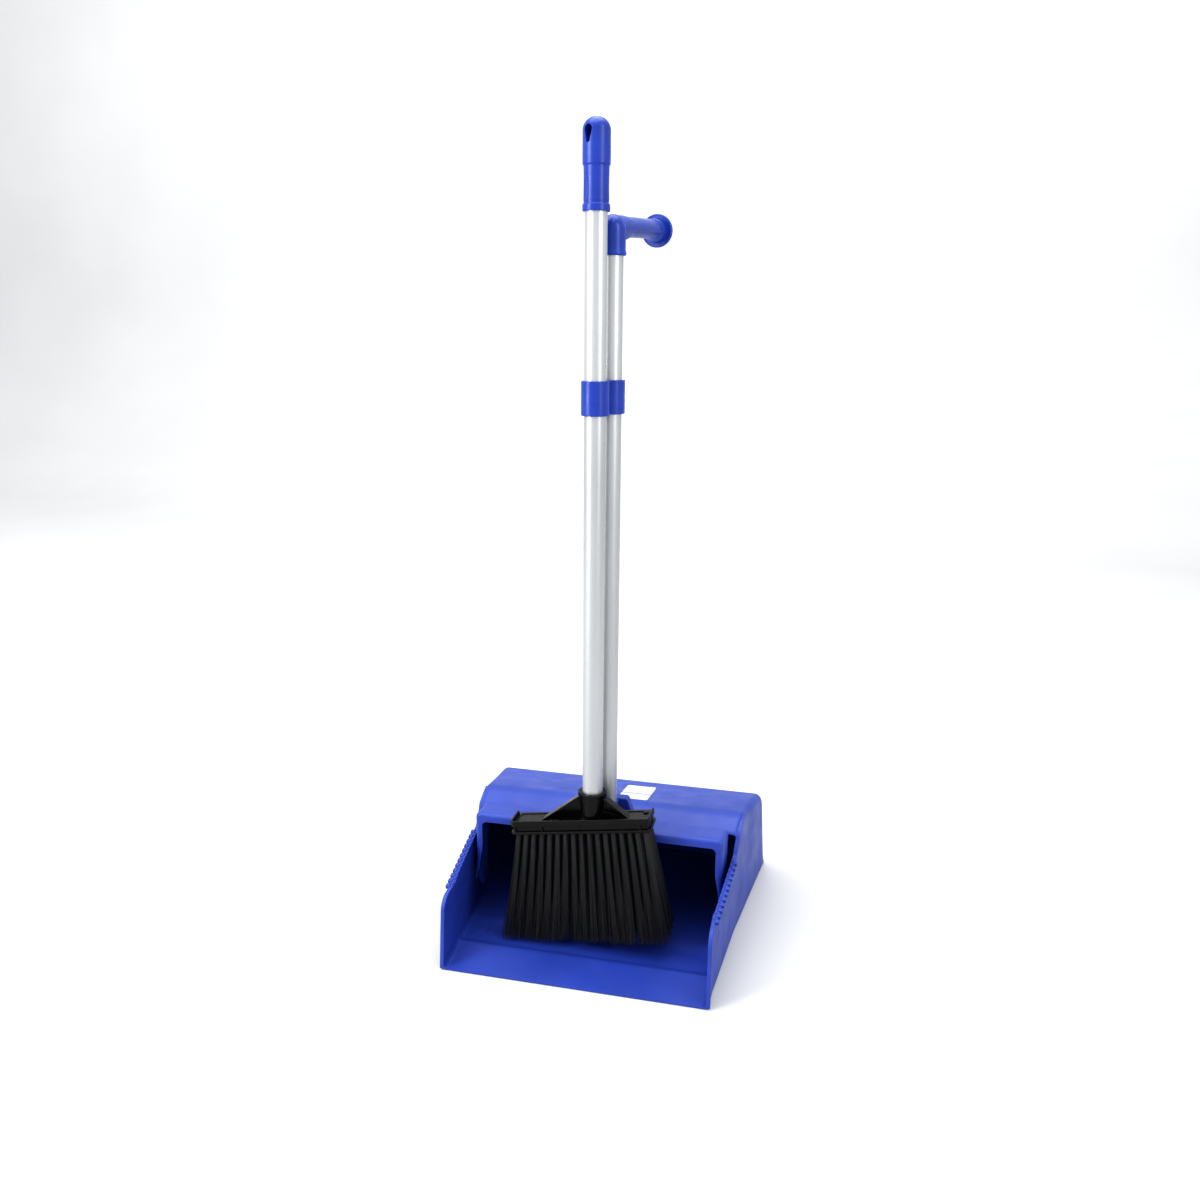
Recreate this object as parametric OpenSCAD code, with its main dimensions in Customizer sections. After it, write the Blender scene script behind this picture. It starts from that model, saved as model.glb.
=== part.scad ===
// Upright dust pan with a hinged hood and handle, and the lobby broom that clips to it.
// Millimetres, +Z up, mouth of the pan towards -Y, origin on the floor below the middle of the pan.

/* [Pan] */
// Depth of the pan from lip to heel
pan_depth = 326; // [310:1:340]
// Half the width of the lip
lip_half = 146; // [140:1:150]
// Half the width where the side walls meet the bin
waist_half = 155; // [153:1:158]
// Half the width across the heel of the bin
heel_half = 175; // [170:1:180]
// Thickness of the pan's walls
wall = 3; // [2.5:0.1:3.5]
// Height of the side walls just behind their rounded front corner
wall_front_h = 81; // [76:1:86]
// Height of the side walls where they meet the bin
wall_back_h = 103; // [98:1:108]
// How far the comb teeth stand out from the side walls
comb_out = 4.5; // [3:0.5:6]
// Number of comb teeth on each side wall
comb_teeth = 12; // [6:1:13]
// Distance from one comb tooth to the next
comb_pitch = 9; // [7:0.5:9]

/* [Bin] */
// Distance from the lip to the front of the bin
bin_front = 150; // [148:1:154]
// Distance from the lip to the ridge of the bin's roof
ridge_y = 186; // [180:1:190]
// Height of the ridge of the bin's roof
ridge_h = 133; // [130:1:138]
// Height of the roof's front edge, in front of and below the ridge
roof_front_h = 123; // [121:0.5:124]
// Height of the rear edge of the bin's roof
roof_back_h = 112; // [106:1:118]
// How far the rear wall leans in from heel to roof
rear_lean = 33; // [25:1:40]

/* [Hood and hinge] */
// Distance from the lip to the hood's front face
hood_front = 109; // [107:0.5:112]
// Depth of the hood's top
hood_top_d = 38; // [32:1:39]
// Height of the hood's top at its front edge
hood_h = 134; // [130:1:138]
// Height of the hood's lowest points, the tips of its front flanges
hood_tip_h = 62; // [55:1:70]
// Distance from the lip to the hinge axis
hinge_y = 132; // [128:1:134]
// Height of the hinge axis
hinge_z = 44; // [40:1:50]
// Radius of the hinge pins
pin_r = 4; // [3:0.5:4.5]

/* [Pan handle] */
// Offset of the pan's tube to the right of the middle
tube_x = 9; // [0:1:12]
// Distance from the lip to the pan's tube
tube_y = 123; // [123:0.5:125]
// Outer radius of both tubes
tube_r = 11; // [10.5:0.25:11.5]
// Wall of both tubes
tube_wall = 1; // [0.8:0.1:1.5]
// Height of the horizontal grip's axis
grip_z = 770.5; // [760:0.5:790]
// Length of the handle from the tube's axis to its end flange
grip_reach = 122; // [105:1:135]
// How far the grip is turned to the right of straight back
grip_turn = 11; // [0:1:20]
// How far the grip rises towards its end, in degrees
grip_lift = 3; // [0:0.5:6]
// Outer radius of the grip's end flange
flange_r = 17.2; // [16:0.1:20]

/* [Clip] */
// Height of the middle of the clip
clip_z = 607.5; // [450:0.5:640]
// Height of the clip's rings
clip_h = 34; // [25:1:40]

/* [Broom] */
// Distance from the lip to the broom's tube
broom_y = 91; // [90:0.5:91]
// Height of the top of the broom's hand grip
broom_top = 865.5; // [850:0.5:880]
// Tilt of the broom's block, right end up
block_tilt = 8.2; // [5:0.1:10]
// Height of the block's underside below the tube
block_z = 142.6; // [138:0.1:145]
// Length of the block to the left of the tube
block_left = 89; // [80:1:95]
// Length of the block to the right of the tube
block_right = 69; // [60:1:75]
// Depth of the block, front to back
block_d = 34; // [32:1:34]
// Thickness of the block
block_t = 11.5; // [10:0.5:13]
// Tufts in each row
tufts = 17; // [12:1:17]

/* [Hidden] */
$fn = 64;
blue = [0.10, 0.22, 0.68];
aluminium = [0.85, 0.86, 0.87];
steel = [0.60, 0.61, 0.63];
black = [0.05, 0.05, 0.055];

// Clearances
fit = 0.05;       // parts that are pressed or screwed together
run = 0.08;       // parts that turn or slide in each other
far = 1000;       // longer than anything in the set

// Pan
front_straight = 28;      // the walls run parallel behind the lip, then flare
corner_r = 16;            // rounded top front corner of the side walls
front_lean = 6;           // how far the front edge leans back at the corner
rim_t = 2.5;              // thickness of the rim along the wall tops
bead = 1.5;               // how far the bead on the front edge stands out
ramp_d = 50;              // depth of the ramp behind the lip
ramp_h = 5.5;             // height of the ramp
ramp_end = 57;            // where the ramp has dropped back to the floor
comb_start = 27;
comb_notch = 4;
roof_r = 6;               // rounding of the roof's edges
heel_r = 9;               // rounding of the upright rear corners
roof_edge = 158;          // the roof starts here, behind the hood
roof_edge_half = 157;     // half-width of the roof there
roof_back = pan_depth - rear_lean;
roof_slope = atan((ridge_h - roof_back_h) / (roof_back - roof_r - ridge_y));
pin_boss_r = 9;
pin_boss_x = 147.2;       // inner face of the hinge bosses on the side walls
pin_end_x = 151.4;        // outer end of the hinge pins, blind in the wall

// Hood
hood_half_front = 143.5;
hood_half_back = 147.4;
hood_t = 3;
hood_back = hood_front + hood_top_d;
hood_drop = 4;            // fall of the hood's top from front to back
flange_w = 8;
lintel_w = 10.5;
leg_r = 11;               // round foot of each leg about the hinge
boss_top = 162;
boss_r = 12.8;

// Handle
elbow_r = 13;
elbow_z = 744;
elbow_screw_z = 752.5;
barrel_r = 12;
barrel_l = 24;
grip_r = 11.3;
spigot_r = 8;
flange_t = 6;

// Broom
hand_grip_z = 782;
hand_grip_r = 13.4;
socket_top = 186;
tuft_r = 2.4;
tuft_tip_r = 4.4;
hole_depth = 8;
edge_h = 4.3;             // raised rim on top of the block
edge_t = 2.2;
row_pitch = 8.2;
trim_left = 4.5;          // height of the bristle tips at the left end
trim_right = 23.5;        // height of the bristle tips at the right end
lean_left = -4;           // lean of the end tufts, in degrees to the right
lean_right = 11.5;
row_splay = 3.3;          // lean of the outer rows, front and back, per row from the middle
screw_r = 1.5;

// The set is drawn with Y counted from the lip, then centred on the pan.
module centred() {
  translate([0, -pan_depth / 2, 0]) children();
}

// Extrudes a side profile, drawn as [y, z], across the whole width.
module across(half = far) {
  translate([-half, 0, 0]) rotate([90, 0, 90]) linear_extrude(2 * half) children();
}

module mirrored() {
  children();
  mirror([1, 0, 0]) children();
}

function arc(cx, cy, r, a0, a1, n = 10) = [
  for (i = [0:n]) let (a = a0 + (a1 - a0) * i / n) [cx + r * cos(a), cy + r * sin(a)]
];

// ---- Pan -------------------------------------------------------------------

// Plan of the pan, grown or shrunk sideways by d.
module pan_plan(d = 0, y0 = 0, y1 = bin_front) {
  w_front = lip_half + d;
  w_back = waist_half + d;
  polygon([[-w_front, y0], [w_front, y0], [w_front, front_straight], [w_back, y1],
    [-w_back, y1], [-w_front, front_straight]]);
}

// Side profile of the side walls: a leaning front edge, a round corner and a rising top.
module wall_profile() {
  polygon(concat(
    [[0, 0]],
    arc(front_lean + corner_r, wall_front_h - corner_r, corner_r, 180, 98),
    [[bin_front + 1, wall_back_h], [bin_front + 1, 0]]
  ));
}

module side_walls() {
  difference() {
    linear_extrude(far) pan_plan();
    translate([0, 0, -1]) linear_extrude(far + 2) pan_plan(-wall, -1, bin_front + 2);
    across() difference() {
      translate([-far, -far]) square([3 * far, 3 * far]);
      wall_profile();
    }
  }
}

// The rim along the top of each wall stands out and is cut into a comb.
module comb_rims() {
  difference() {
    intersection() {
      linear_extrude(far) difference() {
        pan_plan(comb_out);
        pan_plan(-wall, -1, bin_front + 2);
      }
      across() intersection() {
        difference() {
          wall_profile();
          translate([0, -rim_t]) wall_profile();
        }
        translate([comb_start - comb_notch, 0]) square([far, far]);
      }
    }
    for (i = [0:comb_teeth - 1]) mirrored() {
      translate([lip_half + comb_out * 0.1, comb_start + (i + 0.5) * comb_pitch, 0])
        cube([20, comb_notch, far]);
    }
  }
}

module front_beads() {
  intersection() {
    linear_extrude(far) difference() {
      pan_plan(bead);
      pan_plan(-wall, -1, bin_front + 2);
    }
    across() intersection() {
      difference() {
        wall_profile();
        translate([3, -rim_t]) wall_profile();
      }
      square([comb_start, far]);
    }
  }
}

module pan_floor() {
  intersection() {
    linear_extrude(far) pan_plan(-fit, 0, bin_front + 1);
    across() polygon([
      [0, 0], [0, 1.2], [ramp_d, ramp_h], [ramp_end, wall], [bin_front + 1, wall],
      [bin_front + 1, 0], [ramp_end, 0], [ramp_d - 2, ramp_h - wall + 0.5], [8, 0]
    ]);
  }
}

// Rounded body of the bin; inset 0 gives its outside, inset = wall its inside.
module bin_hull(inset = 0) {
  hull() mirrored() {
    translate([waist_half - heel_r, bin_front + inset + heel_r / 2, inset])
      cylinder(r = heel_r - inset, h = 1, $fn = 24);
    translate([heel_half - heel_r, pan_depth - heel_r, inset])
      cylinder(r = heel_r - inset, h = 1, $fn = 24);
    translate([waist_half + 0.4 - roof_r, bin_front + roof_r, wall_back_h + 3 - roof_r])
      sphere(r = roof_r - inset, $fn = 24);
    translate([roof_edge_half - roof_r, roof_edge + roof_r, roof_front_h - roof_r])
      sphere(r = roof_r - inset, $fn = 24);
    translate([roof_edge_half + 2 - roof_r, ridge_y, ridge_h - roof_r])
      sphere(r = roof_r - inset, $fn = 24);
    translate([heel_half - 1 - roof_r, roof_back - roof_r, roof_back_h - roof_r])
      sphere(r = roof_r - inset, $fn = 24);
  }
}

module hinge_boss() {
  translate([pin_boss_x, hinge_y, hinge_z]) rotate([0, 90, 0]) cylinder(r = pin_boss_r, h = 5);
}

module pan_body() {
  mouth_half = waist_half - wall;
  color(blue) centred() difference() {
    union() {
      side_walls();
      comb_rims();
      front_beads();
      pan_floor();
      mirrored() hinge_boss();
      bin_hull();
    }
    bin_hull(wall);
    // the mouth of the bin, open up to the roof's front edge
    translate([-mouth_half, bin_front - 4, wall])
      cube([2 * mouth_half, roof_edge - bin_front + 4, far]);
    // blind bores for the hinge pins
    mirrored() translate([pin_boss_x - 1, hinge_y, hinge_z]) rotate([0, 90, 0])
      cylinder(r = pin_r + run, h = pin_end_x + fit - pin_boss_x + 1);
  }
}

// Blank paper label on the bin's roof.
module roof_label() {
  color("white") centred()
    translate([23.5, ridge_y, ridge_h - roof_r]) rotate([-roof_slope, 0, 0])
      translate([-18, 9, roof_r + 0.02]) cube([36, 66, 0.3]);
}

// ---- Hood ------------------------------------------------------------------

module hood_plan(d = 0) {
  flare = (hood_half_back - hood_half_front) / hood_top_d;
  reach = leg_r + 8;
  polygon([[-hood_half_front - d, hood_front], [hood_half_front + d, hood_front],
    [hood_half_front + d + flare * (hood_top_d + reach) - flare * reach, hood_back + reach],
    [-hood_half_front - d - flare * (hood_top_d + reach) + flare * reach, hood_back + reach]]);
}

// Side profile of a leg: down the front to the tip, and in to a round foot about the hinge.
module leg_profile() {
  hood_back_h = hood_h - hood_drop;
  polygon(concat(
    arc(hood_front + 5, hood_h - 5, 5, 180, 96),
    arc(hood_back - 4, hood_back_h - 4, 4, 84, 0),
    [[hood_back - 1, hood_back_h - 22]],
    [[hinge_y + leg_r, hinge_z]],
    arc(hinge_y, hinge_z, leg_r, 0, -145),
    [[hood_front, hood_tip_h]]
  ));
}

module hood_shell() {
  difference() {
    intersection() {
      linear_extrude(far) hood_plan();
      across() leg_profile();
    }
    // hollow below the top plate, between the legs
    intersection() {
      translate([0, -20, 0]) linear_extrude(far) hood_plan(-hood_t);
      across() polygon([[0, 0], [0, hood_h - hood_t], [hood_front + 6, hood_h - hood_t],
        [hood_back + 20, hood_h - hood_drop - hood_t - 2], [hood_back + 20, 0]]);
    }
  }
}

// Frame round the opening: a lintel and two flanges that run out to a point.
module hood_frame() {
  round_r = 5;
  inner = hood_half_front - flange_w;
  translate([0, hood_front + hood_t, 0]) rotate([90, 0, 0]) linear_extrude(hood_t) difference() {
    polygon([
      [-hood_half_front, hood_h - 5], [hood_half_front, hood_h - 5],
      [hood_half_front, hood_tip_h + 38], [hood_half_front - 1, hood_tip_h],
      [hood_half_front - 3.5, hood_tip_h], [inner, hood_tip_h + 34],
      [-inner, hood_tip_h + 34], [-hood_half_front + 3.5, hood_tip_h],
      [-hood_half_front + 1, hood_tip_h], [-hood_half_front, hood_tip_h + 38]
    ]);
    translate([-inner, 0]) square([2 * inner, hood_h - lintel_w - round_r]);
    translate([-inner + round_r, 0]) square([2 * (inner - round_r), hood_h - lintel_w]);
    for (s = [-1, 1]) translate([s * (inner - round_r), hood_h - lintel_w - round_r]) circle(round_r);
  }
}

// Raised socket for the tube, with a broad gusset on each side.
module hood_boss() {
  base_z = hood_h - hood_drop - hood_t;
  top_half = 23;
  foot_half = 32;
  gusset_t = 12;
  translate([tube_x, 0, 0]) {
    translate([0, tube_y, base_z]) cylinder(r = boss_r, h = boss_top - base_z);
    translate([-boss_r, tube_y, base_z]) cube([2 * boss_r, 18, boss_top - base_z]);
    translate([0, tube_y + 18, 0]) rotate([90, 0, 0]) linear_extrude(gusset_t)
      polygon([[-foot_half, base_z], [foot_half, base_z], [top_half, boss_top - 2],
        [top_half - 2, boss_top], [-top_half + 2, boss_top], [-top_half, boss_top - 2]]);
  }
}

module hood_yoke() {
  seat_z = hood_h;
  color(blue) centred() difference() {
    union() {
      hood_shell();
      hood_frame();
      hood_boss();
      mirrored() translate([hood_half_front - 2, hinge_y, hinge_z]) rotate([0, 90, 0])
        cylinder(r = pin_r + 3, h = 3);
    }
    translate([tube_x, tube_y, seat_z]) cylinder(r = tube_r + fit, h = far);
    translate([tube_x, tube_y, 148]) rotate([-90, 0, 0]) cylinder(r = screw_r + fit, h = 40);
    mirrored() translate([hood_half_front - 0.8, hinge_y, hinge_z]) rotate([0, 90, 0])
      cylinder(r = pin_r + fit, h = 20);
  }
}

module pivot_pin(side) {
  inner_x = hood_half_front - 0.7;
  color(steel) centred() translate([side * inner_x, hinge_y, hinge_z]) rotate([0, side * 90, 0])
    cylinder(r = pin_r, h = pin_end_x - inner_x);
}

module pivot_pin_left() {
  pivot_pin(-1);
}

module pivot_pin_right() {
  pivot_pin(1);
}

// ---- Tubes, screws and handle ----------------------------------------------

module tube(z0, z1) {
  translate([0, 0, z0]) difference() {
    cylinder(r = tube_r, h = z1 - z0);
    translate([0, 0, -1]) cylinder(r = tube_r - tube_wall, h = z1 - z0 + 2);
  }
}

// Screw along +Y with its pan head outside; the head's underside is at y = 0.
module screw(length) {
  rotate([90, 0, 0]) cylinder(r = screw_r, h = length);
  rotate([-90, 0, 0]) difference() {
    cylinder(r1 = 3.4, r2 = 2.6, h = 1.8);
    translate([0, 0, 1]) for (a = [0, 90]) rotate([0, 0, a]) cube([3.6, 0.7, 2], center = true);
  }
}

module pan_tube() {
  color(aluminium) centred() translate([tube_x, tube_y, 0]) difference() {
    tube(hood_h, 770);
    for (z = [148, elbow_screw_z]) translate([0, 0, z]) rotate([-90, 0, 0])
      cylinder(r = screw_r + fit, h = 20);
  }
}

module boss_screw() {
  color(steel) centred() translate([tube_x, tube_y + 18 + fit, 148]) screw(11);
}

module elbow_screw() {
  color(steel) centred() translate([tube_x, tube_y + elbow_r + fit, elbow_screw_z]) screw(6);
}

// Places things on the grip's axis, which points back and a little to the right.
module on_grip_axis() {
  translate([tube_x, tube_y, grip_z]) rotate([0, 0, -grip_turn])
    rotate([grip_lift - 90, 0, 0]) children();
}

module handle_elbow() {
  elbow_top = grip_z + barrel_r;
  round_r = 9;
  color(blue) centred() difference() {
    union() {
      translate([tube_x, tube_y, 0]) rotate_extrude() polygon(concat(
        [[0, elbow_z], [elbow_r + 0.8, elbow_z], [elbow_r + 0.8, elbow_z + 3], [elbow_r, elbow_z + 4]],
        arc(elbow_r - round_r, elbow_top - round_r, round_r, 0, 90),
        [[0, elbow_top]]
      ));
      on_grip_axis() {
        cylinder(r = barrel_r, h = barrel_l);
        cylinder(r = spigot_r, h = barrel_l + 50);
      }
    }
    translate([tube_x, tube_y, elbow_z - 1]) cylinder(r = tube_r + fit, h = 770 + fit + 1 - elbow_z);
    translate([tube_x, tube_y, elbow_screw_z]) rotate([-90, 0, 0]) cylinder(r = screw_r + fit, h = 30);
    translate([tube_x - 5, tube_y + elbow_r, elbow_screw_z - 4.7]) cube([10, 5, 9.4]);
  }
}

module pan_grip() {
  z0 = barrel_l + 0.1;
  z1 = grip_reach - flange_t;
  color(blue) centred() on_grip_axis() difference() {
    union() {
      translate([0, 0, z0]) cylinder(r = grip_r, h = z1 - z0);
      translate([0, 0, z1 - 9]) cylinder(r = grip_r + 0.9, h = 3);
    }
    translate([0, 0, z0 - 1]) cylinder(r = spigot_r + fit, h = z1 - z0 + 2);
  }
}

module grip_end_cap() {
  z0 = grip_reach - flange_t + 0.1;
  color(blue) centred() on_grip_axis() difference() {
    union() {
      translate([0, 0, z0]) cylinder(r1 = flange_r - 1, r2 = flange_r, h = 1);
      translate([0, 0, z0 + 1]) cylinder(r = flange_r, h = flange_t - 2);
      translate([0, 0, z0 + flange_t - 1]) cylinder(r1 = flange_r, r2 = flange_r - 1.2, h = 1.2);
      translate([0, 0, z0 - 20]) cylinder(r = spigot_r - fit, h = 21);
    }
    translate([0, 0, z0 + flange_t - 1.5]) cylinder(r1 = 11, r2 = 13.5, h = 3);
  }
}

// ---- Clip ------------------------------------------------------------------

module clip_ring() {
  outer = tube_r + 3;
  bevel = 1.2;
  rotate_extrude() polygon([
    [0, -clip_h / 2], [outer - bevel, -clip_h / 2], [outer, -clip_h / 2 + bevel],
    [outer, clip_h / 2 - bevel], [outer - bevel, clip_h / 2], [0, clip_h / 2]
  ]);
}

// A closed ring on the broom's tube, joined to a snap fork that opens backwards on the pan's tube.
module tube_clip() {
  web = 13;
  gap = [tube_x, tube_y - broom_y];
  color(blue) centred() translate([0, broom_y, clip_z]) difference() {
    union() {
      clip_ring();
      translate([gap[0], gap[1], 0]) clip_ring();
      rotate([0, 0, atan2(gap[1], gap[0])]) translate([2, -web / 2, -clip_h / 2 + 2])
        cube([norm(gap) - 4, web, clip_h - 4]);
    }
    cylinder(r = tube_r + run, h = 2 * clip_h, center = true);
    translate([gap[0], gap[1], 0]) {
      cylinder(r = tube_r + 0.35, h = 2 * clip_h, center = true);
      translate([-tube_r - 0.6, 0.5, -clip_h]) cube([2 * tube_r + 1.2, 40, 2 * clip_h]);
    }
  }
}

// ---- Broom -----------------------------------------------------------------

module broom_tube() {
  color(aluminium) centred() translate([0, broom_y, 0]) difference() {
    tube(block_z + block_t + 5, 832);
    translate([0, 0, 173]) rotate([-90, 0, 0]) cylinder(r = screw_r + fit, h = 20);
  }
}

// Domed hand grip with a collar at the bottom and a long hang hole near the top.
module broom_hand_grip() {
  r = hand_grip_r;
  dome = broom_top - r;
  hole_r = 3.5;
  color(blue) centred() translate([0, broom_y, 0]) difference() {
    rotate_extrude() polygon(concat(
      [[0, hand_grip_z], [r - 0.5, hand_grip_z], [r, hand_grip_z + 1],
        [r, hand_grip_z + 6], [r - 1, hand_grip_z + 7.5], [r - 1, 822.5], [r, 824.5]],
      arc(0, dome, r, 0, 90, 14)
    ));
    translate([0, 0, hand_grip_z - 1]) cylinder(r = tube_r + fit, h = 52);
    rotate([0, 0, -25]) for (z = [845.2, 853.4]) translate([0, 0, z]) rotate([90, 0, 0])
      cylinder(r = hole_r, h = 60, center = true);
    rotate([0, 0, -25]) translate([-hole_r, -30, 845.2]) cube([2 * hole_r, 60, 8.2]);
  }
}

// Box with rounded upright edges, from x0 to x1 and centred on y.
module round_bar(x0, x1, depth, z0, height, r) {
  translate([x0 + r, -depth / 2, z0]) cube([x1 - x0 - 2 * r, depth, height]);
  translate([x0, -depth / 2 + r, z0]) cube([x1 - x0, depth - 2 * r, height]);
  for (x = [x0 + r, x1 - r], y = [-1, 1]) translate([x, y * (depth / 2 - r), z0])
    cylinder(r = r, h = height);
}

// The block's own frame: x along the block, z = 0 on its underside below the tube.
module on_block() {
  translate([0, broom_y, block_z]) rotate([0, -block_tilt, 0]) children();
}

// Position of tuft i of a row along the block.
function tuft_x(i) = -block_left + 7 + (block_left + block_right - 14) * i / (tufts - 1);

module tuft_holes() {
  for (i = [0:tufts - 1], row = [-1.5:1:1.5]) translate([tuft_x(i), row * row_pitch, -1])
    cylinder(r = tuft_r + fit, h = hole_depth + 1, $fn = 24);
}

// Twin ribs from the socket down to the block, drawn in the XZ plane.
module gusset(reach, foot_z) {
  for (y = [-5, 2.6]) translate([0, broom_y + y + 2.4, 0]) rotate([90, 0, 0]) linear_extrude(2.4)
    polygon([[0, block_z + 6], [0, socket_top - 5], [12.5 * sign(reach), socket_top - 5],
      [reach, foot_z], [reach, foot_z - 4]]);
}

module broom_block() {
  border = 2.6;
  color(black) centred() difference() {
    union() {
      on_block() {
        round_bar(-block_left, block_right, block_d, 0, block_t, 5);
        round_bar(-block_left - 0.8, block_right + 0.8, block_d, 0, 1.8, 5);
        // raised rim along the front and both ends of the top
        difference() {
          round_bar(-block_left, block_right, block_d, block_t - 0.1, edge_h + 0.1, 5);
          translate([0, 2 * edge_t, 0])
            round_bar(-block_left + edge_t, block_right - edge_t, block_d + 2 * edge_t, block_t, far, 3);
        }
      }
      translate([0, broom_y, block_z + 5]) cylinder(r = 12.9, h = 10);
      translate([0, broom_y, block_z + 15])
        cylinder(r1 = 12.9, r2 = 15.2, h = socket_top - 3 - block_z - 15);
      translate([0, broom_y, socket_top - 3]) cylinder(r = 15.4, h = 3);
      gusset(-58, block_z + block_t - 58 * tan(block_tilt));
      gusset(42, block_z + block_t + 42 * tan(block_tilt));
    }
    // socket bore
    translate([0, broom_y, block_z + block_t + 4.9]) cylinder(r = tube_r + fit, h = far);
    translate([0, broom_y, 173]) rotate([-90, 0, 0]) cylinder(r = screw_r + fit, h = 30);
    on_block() {
      // framed panels sunk into the front and back faces
      for (s = [-1, 1], span = [[-block_left + 7, -block_left + 32], [-block_left + 35, block_right - 7]])
        translate([span[0], s * (block_d / 2) - 0.8, border])
          cube([span[1] - span[0], 1.6, block_t - 2 * border]);
      tuft_holes();
    }
  }
}

module socket_screw() {
  color(steel) centred() translate([0, broom_y + 15.4 + fit, 173]) screw(7);
}

// One staple wire at the blind end of every tuft hole.
module tuft_anchors() {
  color(steel) centred() on_block()
    for (i = [0:tufts - 1], row = [-1.5:1:1.5])
      translate([tuft_x(i), row * row_pitch, hole_depth - 0.7]) rotate([0, 90, 0])
        cylinder(r = 0.5, h = 4, center = true, $fn = 16);
}

// A row of tufts: each stub sits in its hole, and the tuft leans and widens down to the trim line.
module tuft_row(row) {
  color(black) centred() for (i = [0:tufts - 1]) {
    x = tuft_x(i);
    part = i / (tufts - 1);
    lean = lean_left + (lean_right - lean_left) * part;
    splay = row * row_splay;
    root_z = block_z + x * sin(block_tilt);
    tip_z = trim_left + (trim_right - trim_left) * part;
    drop = (root_z - 1.2 - tip_z) / (cos(lean) * cos(splay));
    on_block() translate([x, row * row_pitch, -6]) cylinder(r = tuft_r, h = hole_depth + 4.6, $fn = 20);
    on_block() translate([x, row * row_pitch, -1.2]) rotate([0, block_tilt, 0])
      rotate([splay, 0, 0]) rotate([0, -lean, 0]) translate([0, 0, -drop])
        cylinder(r1 = tuft_tip_r, r2 = tuft_r + 0.5, h = drop, $fn = 20);
  }
}

module tufts_front_row() {
  tuft_row(-1.5);
}

module tufts_second_row() {
  tuft_row(-0.5);
}

module tufts_third_row() {
  tuft_row(0.5);
}

module tufts_rear_row() {
  tuft_row(1.5);
}

pan_body();
roof_label();
hood_yoke();
pivot_pin_left();
pivot_pin_right();
pan_tube();
boss_screw();
handle_elbow();
elbow_screw();
pan_grip();
grip_end_cap();
tube_clip();
broom_tube();
broom_hand_grip();
broom_block();
socket_screw();
tuft_anchors();
tufts_front_row();
tufts_second_row();
tufts_third_row();
tufts_rear_row();
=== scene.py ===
import math
import random

import bmesh
import bpy
from mathutils import Matrix, Vector


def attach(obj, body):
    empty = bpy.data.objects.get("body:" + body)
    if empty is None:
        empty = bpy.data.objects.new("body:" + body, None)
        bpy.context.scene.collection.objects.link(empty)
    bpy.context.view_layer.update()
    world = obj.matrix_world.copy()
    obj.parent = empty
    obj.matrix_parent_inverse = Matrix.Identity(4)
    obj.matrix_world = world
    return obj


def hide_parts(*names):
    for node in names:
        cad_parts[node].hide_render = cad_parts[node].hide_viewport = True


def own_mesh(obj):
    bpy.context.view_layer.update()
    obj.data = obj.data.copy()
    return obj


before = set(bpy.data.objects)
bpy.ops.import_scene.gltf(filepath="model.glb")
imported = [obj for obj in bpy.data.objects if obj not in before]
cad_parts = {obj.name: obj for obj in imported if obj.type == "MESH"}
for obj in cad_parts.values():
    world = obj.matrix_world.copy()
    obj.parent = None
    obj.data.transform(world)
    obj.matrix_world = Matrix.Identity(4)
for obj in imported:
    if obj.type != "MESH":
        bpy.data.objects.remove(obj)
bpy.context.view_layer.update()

# ---- Driving dimensions, in millimetres, with Y counted from the lip of the pan ----
MM = 0.001
HALF_DEPTH = 163.0                        # lip to the middle of the frame

PAN_DEPTH = 326.0
LIP_HALF, WAIST_HALF, HEEL_HALF = 146.0, 155.0, 175.0
FLARE_START, BIN_FRONT = 28.0, 150.0      # the side walls flare between these
WALL = 3.0
EDGE_LEAN, CORNER_R = 6.0, 16.0           # front edge of the side walls
WALL_FRONT_H, WALL_BACK_H = 81.0, 103.0
RAMP_DEPTH, RAMP_H, RAMP_END = 50.0, 5.5, 58.0
ROOF_FRONT = (158.0, 121.5)               # (y, z) of the roof's profile
ROOF_RIDGE = (186.0, 133.0)
ROOF_BACK = (292.5, 112.0)
ROOF_SIDE_R = 6.5
COMB_START, COMB_PITCH, COMB_TEETH = 27.5, 9.0, 12

# the hood stays a little inside the CAD's, to clear the roof and the walls as it turns
HOOD_FRONT, HOOD_BACK = 109.0, 145.6
HOOD_H, HOOD_DROP = 134.0, 4.0
HOOD_HALF, HOOD_HALF_BACK = 143.0, 144.4
HOOD_T = 3.0
HINGE_Y, HINGE_Z = 132.0, 44.0
HINGE_FOOT_R = 11.0
LEG_FRONT_Z, LEG_BACK_Z = 62.0, 108.0     # where a leg's edges reach the hood's full depth
BOSS_TOP = 162.0

TUBE_R, TUBE_WALL = 11.0, 1.0
PAN_TUBE = (9.0, 123.0)                   # (x, y) of the two tubes
BROOM_TUBE = (0.0, 91.0)
GRIP_Z, GRIP_TURN, GRIP_LIFT, GRIP_REACH = 770.5, 11.0, 3.0, 122.0
GRIP_R, BARREL_R, FLANGE_R = 11.3, 12.0, 17.2
ELBOW_R, ELBOW_Z = 13.0, 744.0
CLIP_Z, CLIP_H = 607.5, 34.0
HAND_GRIP_Z, HAND_GRIP_R, BROOM_TOP = 782.0, 13.4, 865.5

BLOCK_TILT = 8.2
BLOCK_Z, BLOCK_LEFT, BLOCK_RIGHT = 142.6, 89.0, 69.0
BLOCK_D, BLOCK_T, BLOCK_RIM = 34.0, 11.5, 4.3
SOCKET_TOP = 186.0
TUFTS, ROW_PITCH = 17, 8.2
TRIM_LEFT, TRIM_RIGHT = 4.5, 23.5         # height of the bristle tips
LEAN_LEFT, LEAN_RIGHT, ROW_SPLAY = -4.0, 11.5, 3.3

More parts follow.
